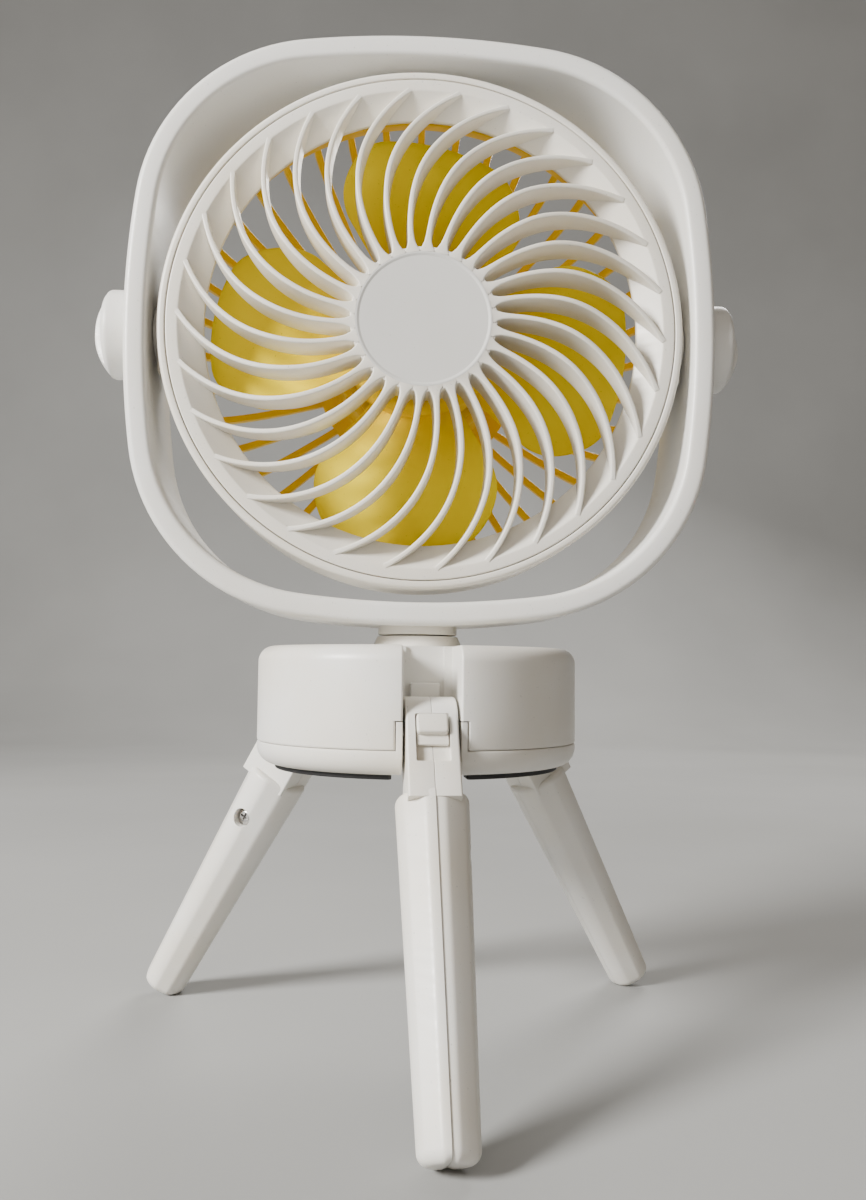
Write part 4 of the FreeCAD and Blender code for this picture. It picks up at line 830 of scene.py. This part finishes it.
def shank_half(sign, steps=44):
    """One moulded half of a leg's shank; the right half sits a little lower along the seam."""
    stations = [(SHANK_TOP + drop, inset, 0) for inset, drop in quarter_round(TOP_EDGE, 6)]
    for k in range(1, 12):
        stations.append((blended(SHANK_TOP + TOP_EDGE, SHANK_END - FOOT_ROUND, k / 12), 0, 0))
    for k, (rise, inset) in enumerate(quarter_round(FOOT_ROUND, 8)):
        stations.append((SHANK_END - rise, inset, k / 8))
    rows = []
    for along, inset, lobe in stations:
        taper = (along - SHANK_TOP) / (SHANK_END - SHANK_TOP)
        radius = blended(TOP_RADIUS, FOOT_RADIUS, taper) - inset
        row = []
        for i in range(steps + 1):
            angle = math.pi * i / steps
            flats = [share / max(math.cos(angle - middle), 0.5) for share, middle in FLATS]
            reach = radius * min([1] + flats)
            if sign > 0:
                reach -= SEAM_DROP * math.exp(-(angle / 0.4) ** 2)
            x, y = reach * math.sin(angle), -reach * math.cos(angle)
            lift = 0.45 * lobe * math.exp(-(x / 0.8) ** 2)
            row.append(Vector((sign * (x + SEAM_GAP), y, lift - along)))
        rows.append(row)
    return rows


def pan_head():
    """A pan head screw seen from outside, its cross recess cut later."""
    outline = rounded([(0, 6.4, 0), (1.5, 6.3, 1.0), (2.2, 5.8, 0.35), (2.2, 4.5, 0.05), (0, 4.5, 0)])
    return lathe(outline, 48, closed=False)


CROSS_THIN, CROSS_LONG = 0.3, 1.25
CROSS = [slab(box_outline(-wide, wide, -tall, tall, 0.12), 5.5, 8, 0, 0, 1)
         for wide, tall in ((CROSS_THIN, CROSS_LONG), (CROSS_LONG, CROSS_THIN))]
LATCH_HALF, LATCH_TOP = 3.65, 0.25
QUARTER_TURN = Matrix.Rotation(math.pi / 2, 4, "X")
LEG_WHITE = LOOKS["leg_white"]
TO_SCREW = Matrix.Translation((0, 0, -SCREW_AT)) @ Matrix.Rotation(math.pi / 2, 4, "Y")
for leg, turn in LEG_TURNS.items():
    place = leg_place(turn)
    for side, sign in (("left", -1), ("right", 1)):
        near, far = sorted((sign * SEAM_GAP, sign * NECK_HALF))
        edges = (0.12, 0.55) if sign > 0 else (0.55, 0.12)
        half = slab(neck_outline, near, far, *edges).placed(SIDEWAYS)
        block = piece("%s_neck_%s" % (leg, side), half, place, LEG_WHITE, leg, [])
        window = slab(box_outline(-4, 4, -11.5, 0.6, 0.4), 6.6, 12, 0.15, 0, 2).placed(QUARTER_TURN)
        carved(block, [window], place)
        surface = Surface().capped(shank_half(sign))
        shank = piece("%s_shank_%s" % (leg, side), surface, place, LEG_WHITE, leg,
                      ["%s_half_%s" % (leg, side)], 30)
        if sign > 0:
            carved(shank, [slab(disc_outline(2.6), 4.4, 14, 0.1, 0, 2)], place @ TO_SCREW, 30)
    screw = piece(leg + "_cross_screw", pan_head(), place @ TO_SCREW, LOOKS["screw_steel"], leg,
                  [leg + "_screw"])
    carved(screw, CROSS, place @ TO_SCREW)
    latch = slab(box_outline(-LATCH_HALF, LATCH_HALF, -7.1, LATCH_TOP, 0.3), 6.95, 7.75, 0.1, 0.15)
    latch.merged(slab(box_outline(-LATCH_HALF, LATCH_HALF, -4.7, LATCH_TOP, 0.8), 7.5, 9.45, 0.1, 0.55))
    piece(leg + "_catch", latch, place @ QUARTER_TURN, LOOKS["latch_white"], leg + "_catch",
          [leg + "_latch"])

# ---------------------------------------------------------------- floor, light and camera

stage = Nodes("paper")
cloudy = stage.span(stage.noise(3.0, 4), 0.35, 0.7)
PAPER, SHADED_PAPER = (0.37, 0.372, 0.365), (0.32, 0.322, 0.315)
stage.link(stage.mix(cloudy, PAPER, SHADED_PAPER), stage.shader.inputs["Base Color"])
stage.link(stage.bump(stage.noise(260, 3), 0.0002, 0.25), stage.shader.inputs["Normal"])
stage.shader.inputs["Roughness"].default_value = 0.9
FLOOR_NEAR, FLOOR_FAR, SWEEP, WALL_TOP, HALF_WIDTH = -3.0, 1.55, 0.5, 2.6, 3.2
profile = [(FLOOR_NEAR, 0), (FLOOR_FAR - SWEEP, 0)]
for k in range(1, 17):
    angle = math.pi / 2 * k / 16
    profile.append((FLOOR_FAR - SWEEP + SWEEP * math.sin(angle), SWEEP * (1 - math.cos(angle))))
profile.append((FLOOR_FAR, WALL_TOP))
sheet = bpy.data.meshes.new("backdrop")
corners = [(x, y, z) for y, z in profile for x in (-HALF_WIDTH, HALF_WIDTH)]
sheet.from_pydata(corners, [], [(k, k + 1, k + 3, k + 2) for k in range(0, len(corners) - 2, 2)])
sheet.shade_smooth()
sheet.materials.append(stage.material)
backdrop = bpy.data.objects.new("backdrop", sheet)
bpy.context.scene.collection.objects.link(backdrop)


def area_light(name, place, target, size, power, colour):
    """A round soft light aimed at a target."""
    data = bpy.data.lights.new(name, "AREA")
    data.shape = "DISK"
    data.size = size
    data.energy = power
    data.color = colour
    lamp = bpy.data.objects.new(name, data)
    bpy.context.scene.collection.objects.link(lamp)
    lamp.location = place
    lamp.rotation_euler = (Vector(target) - Vector(place)).to_track_quat("-Z", "Y").to_euler()


area_light("window", (-0.98, -0.62, 0.66), (0, 0, 0.15), 0.40, 42, (1.0, 0.985, 0.96))
area_light("ceiling", (-0.30, -1.3, 0.60), (0, 0, 0.14), 1.0, 3.2, (1.0, 0.91, 0.80))
area_light("back", (0.45, 1.15, 1.0), (0, 0, 0.15), 0.7, 16, (1.0, 0.98, 0.95))
world = bpy.data.worlds.new("air")
world.use_nodes = True
world.node_tree.nodes["Background"].inputs["Color"].default_value = (1.0, 0.88, 0.76, 1)
world.node_tree.nodes["Background"].inputs["Strength"].default_value = 0.20
bpy.context.scene.world = world

optics = bpy.data.cameras.new("camera")
optics.sensor_width = 36
optics.sensor_fit = "VERTICAL"
optics.sensor_height = 36
optics.lens = 31.87
optics.clip_start = 0.01
camera = bpy.data.objects.new("camera", optics)
bpy.context.scene.collection.objects.link(camera)
CAMERA_PLACE = (-0.0103, -0.2875, 0.0953)
YAW, PITCH, ROLL = math.radians(-2.874), math.radians(3.833), math.radians(0.601)
camera.matrix_world = (Matrix.Translation(CAMERA_PLACE) @ Matrix.Rotation(YAW, 4, "Z")
                       @ Matrix.Rotation(math.pi / 2 + PITCH, 4, "X") @ Matrix.Rotation(ROLL, 4, "Z"))
bpy.context.scene.camera = camera
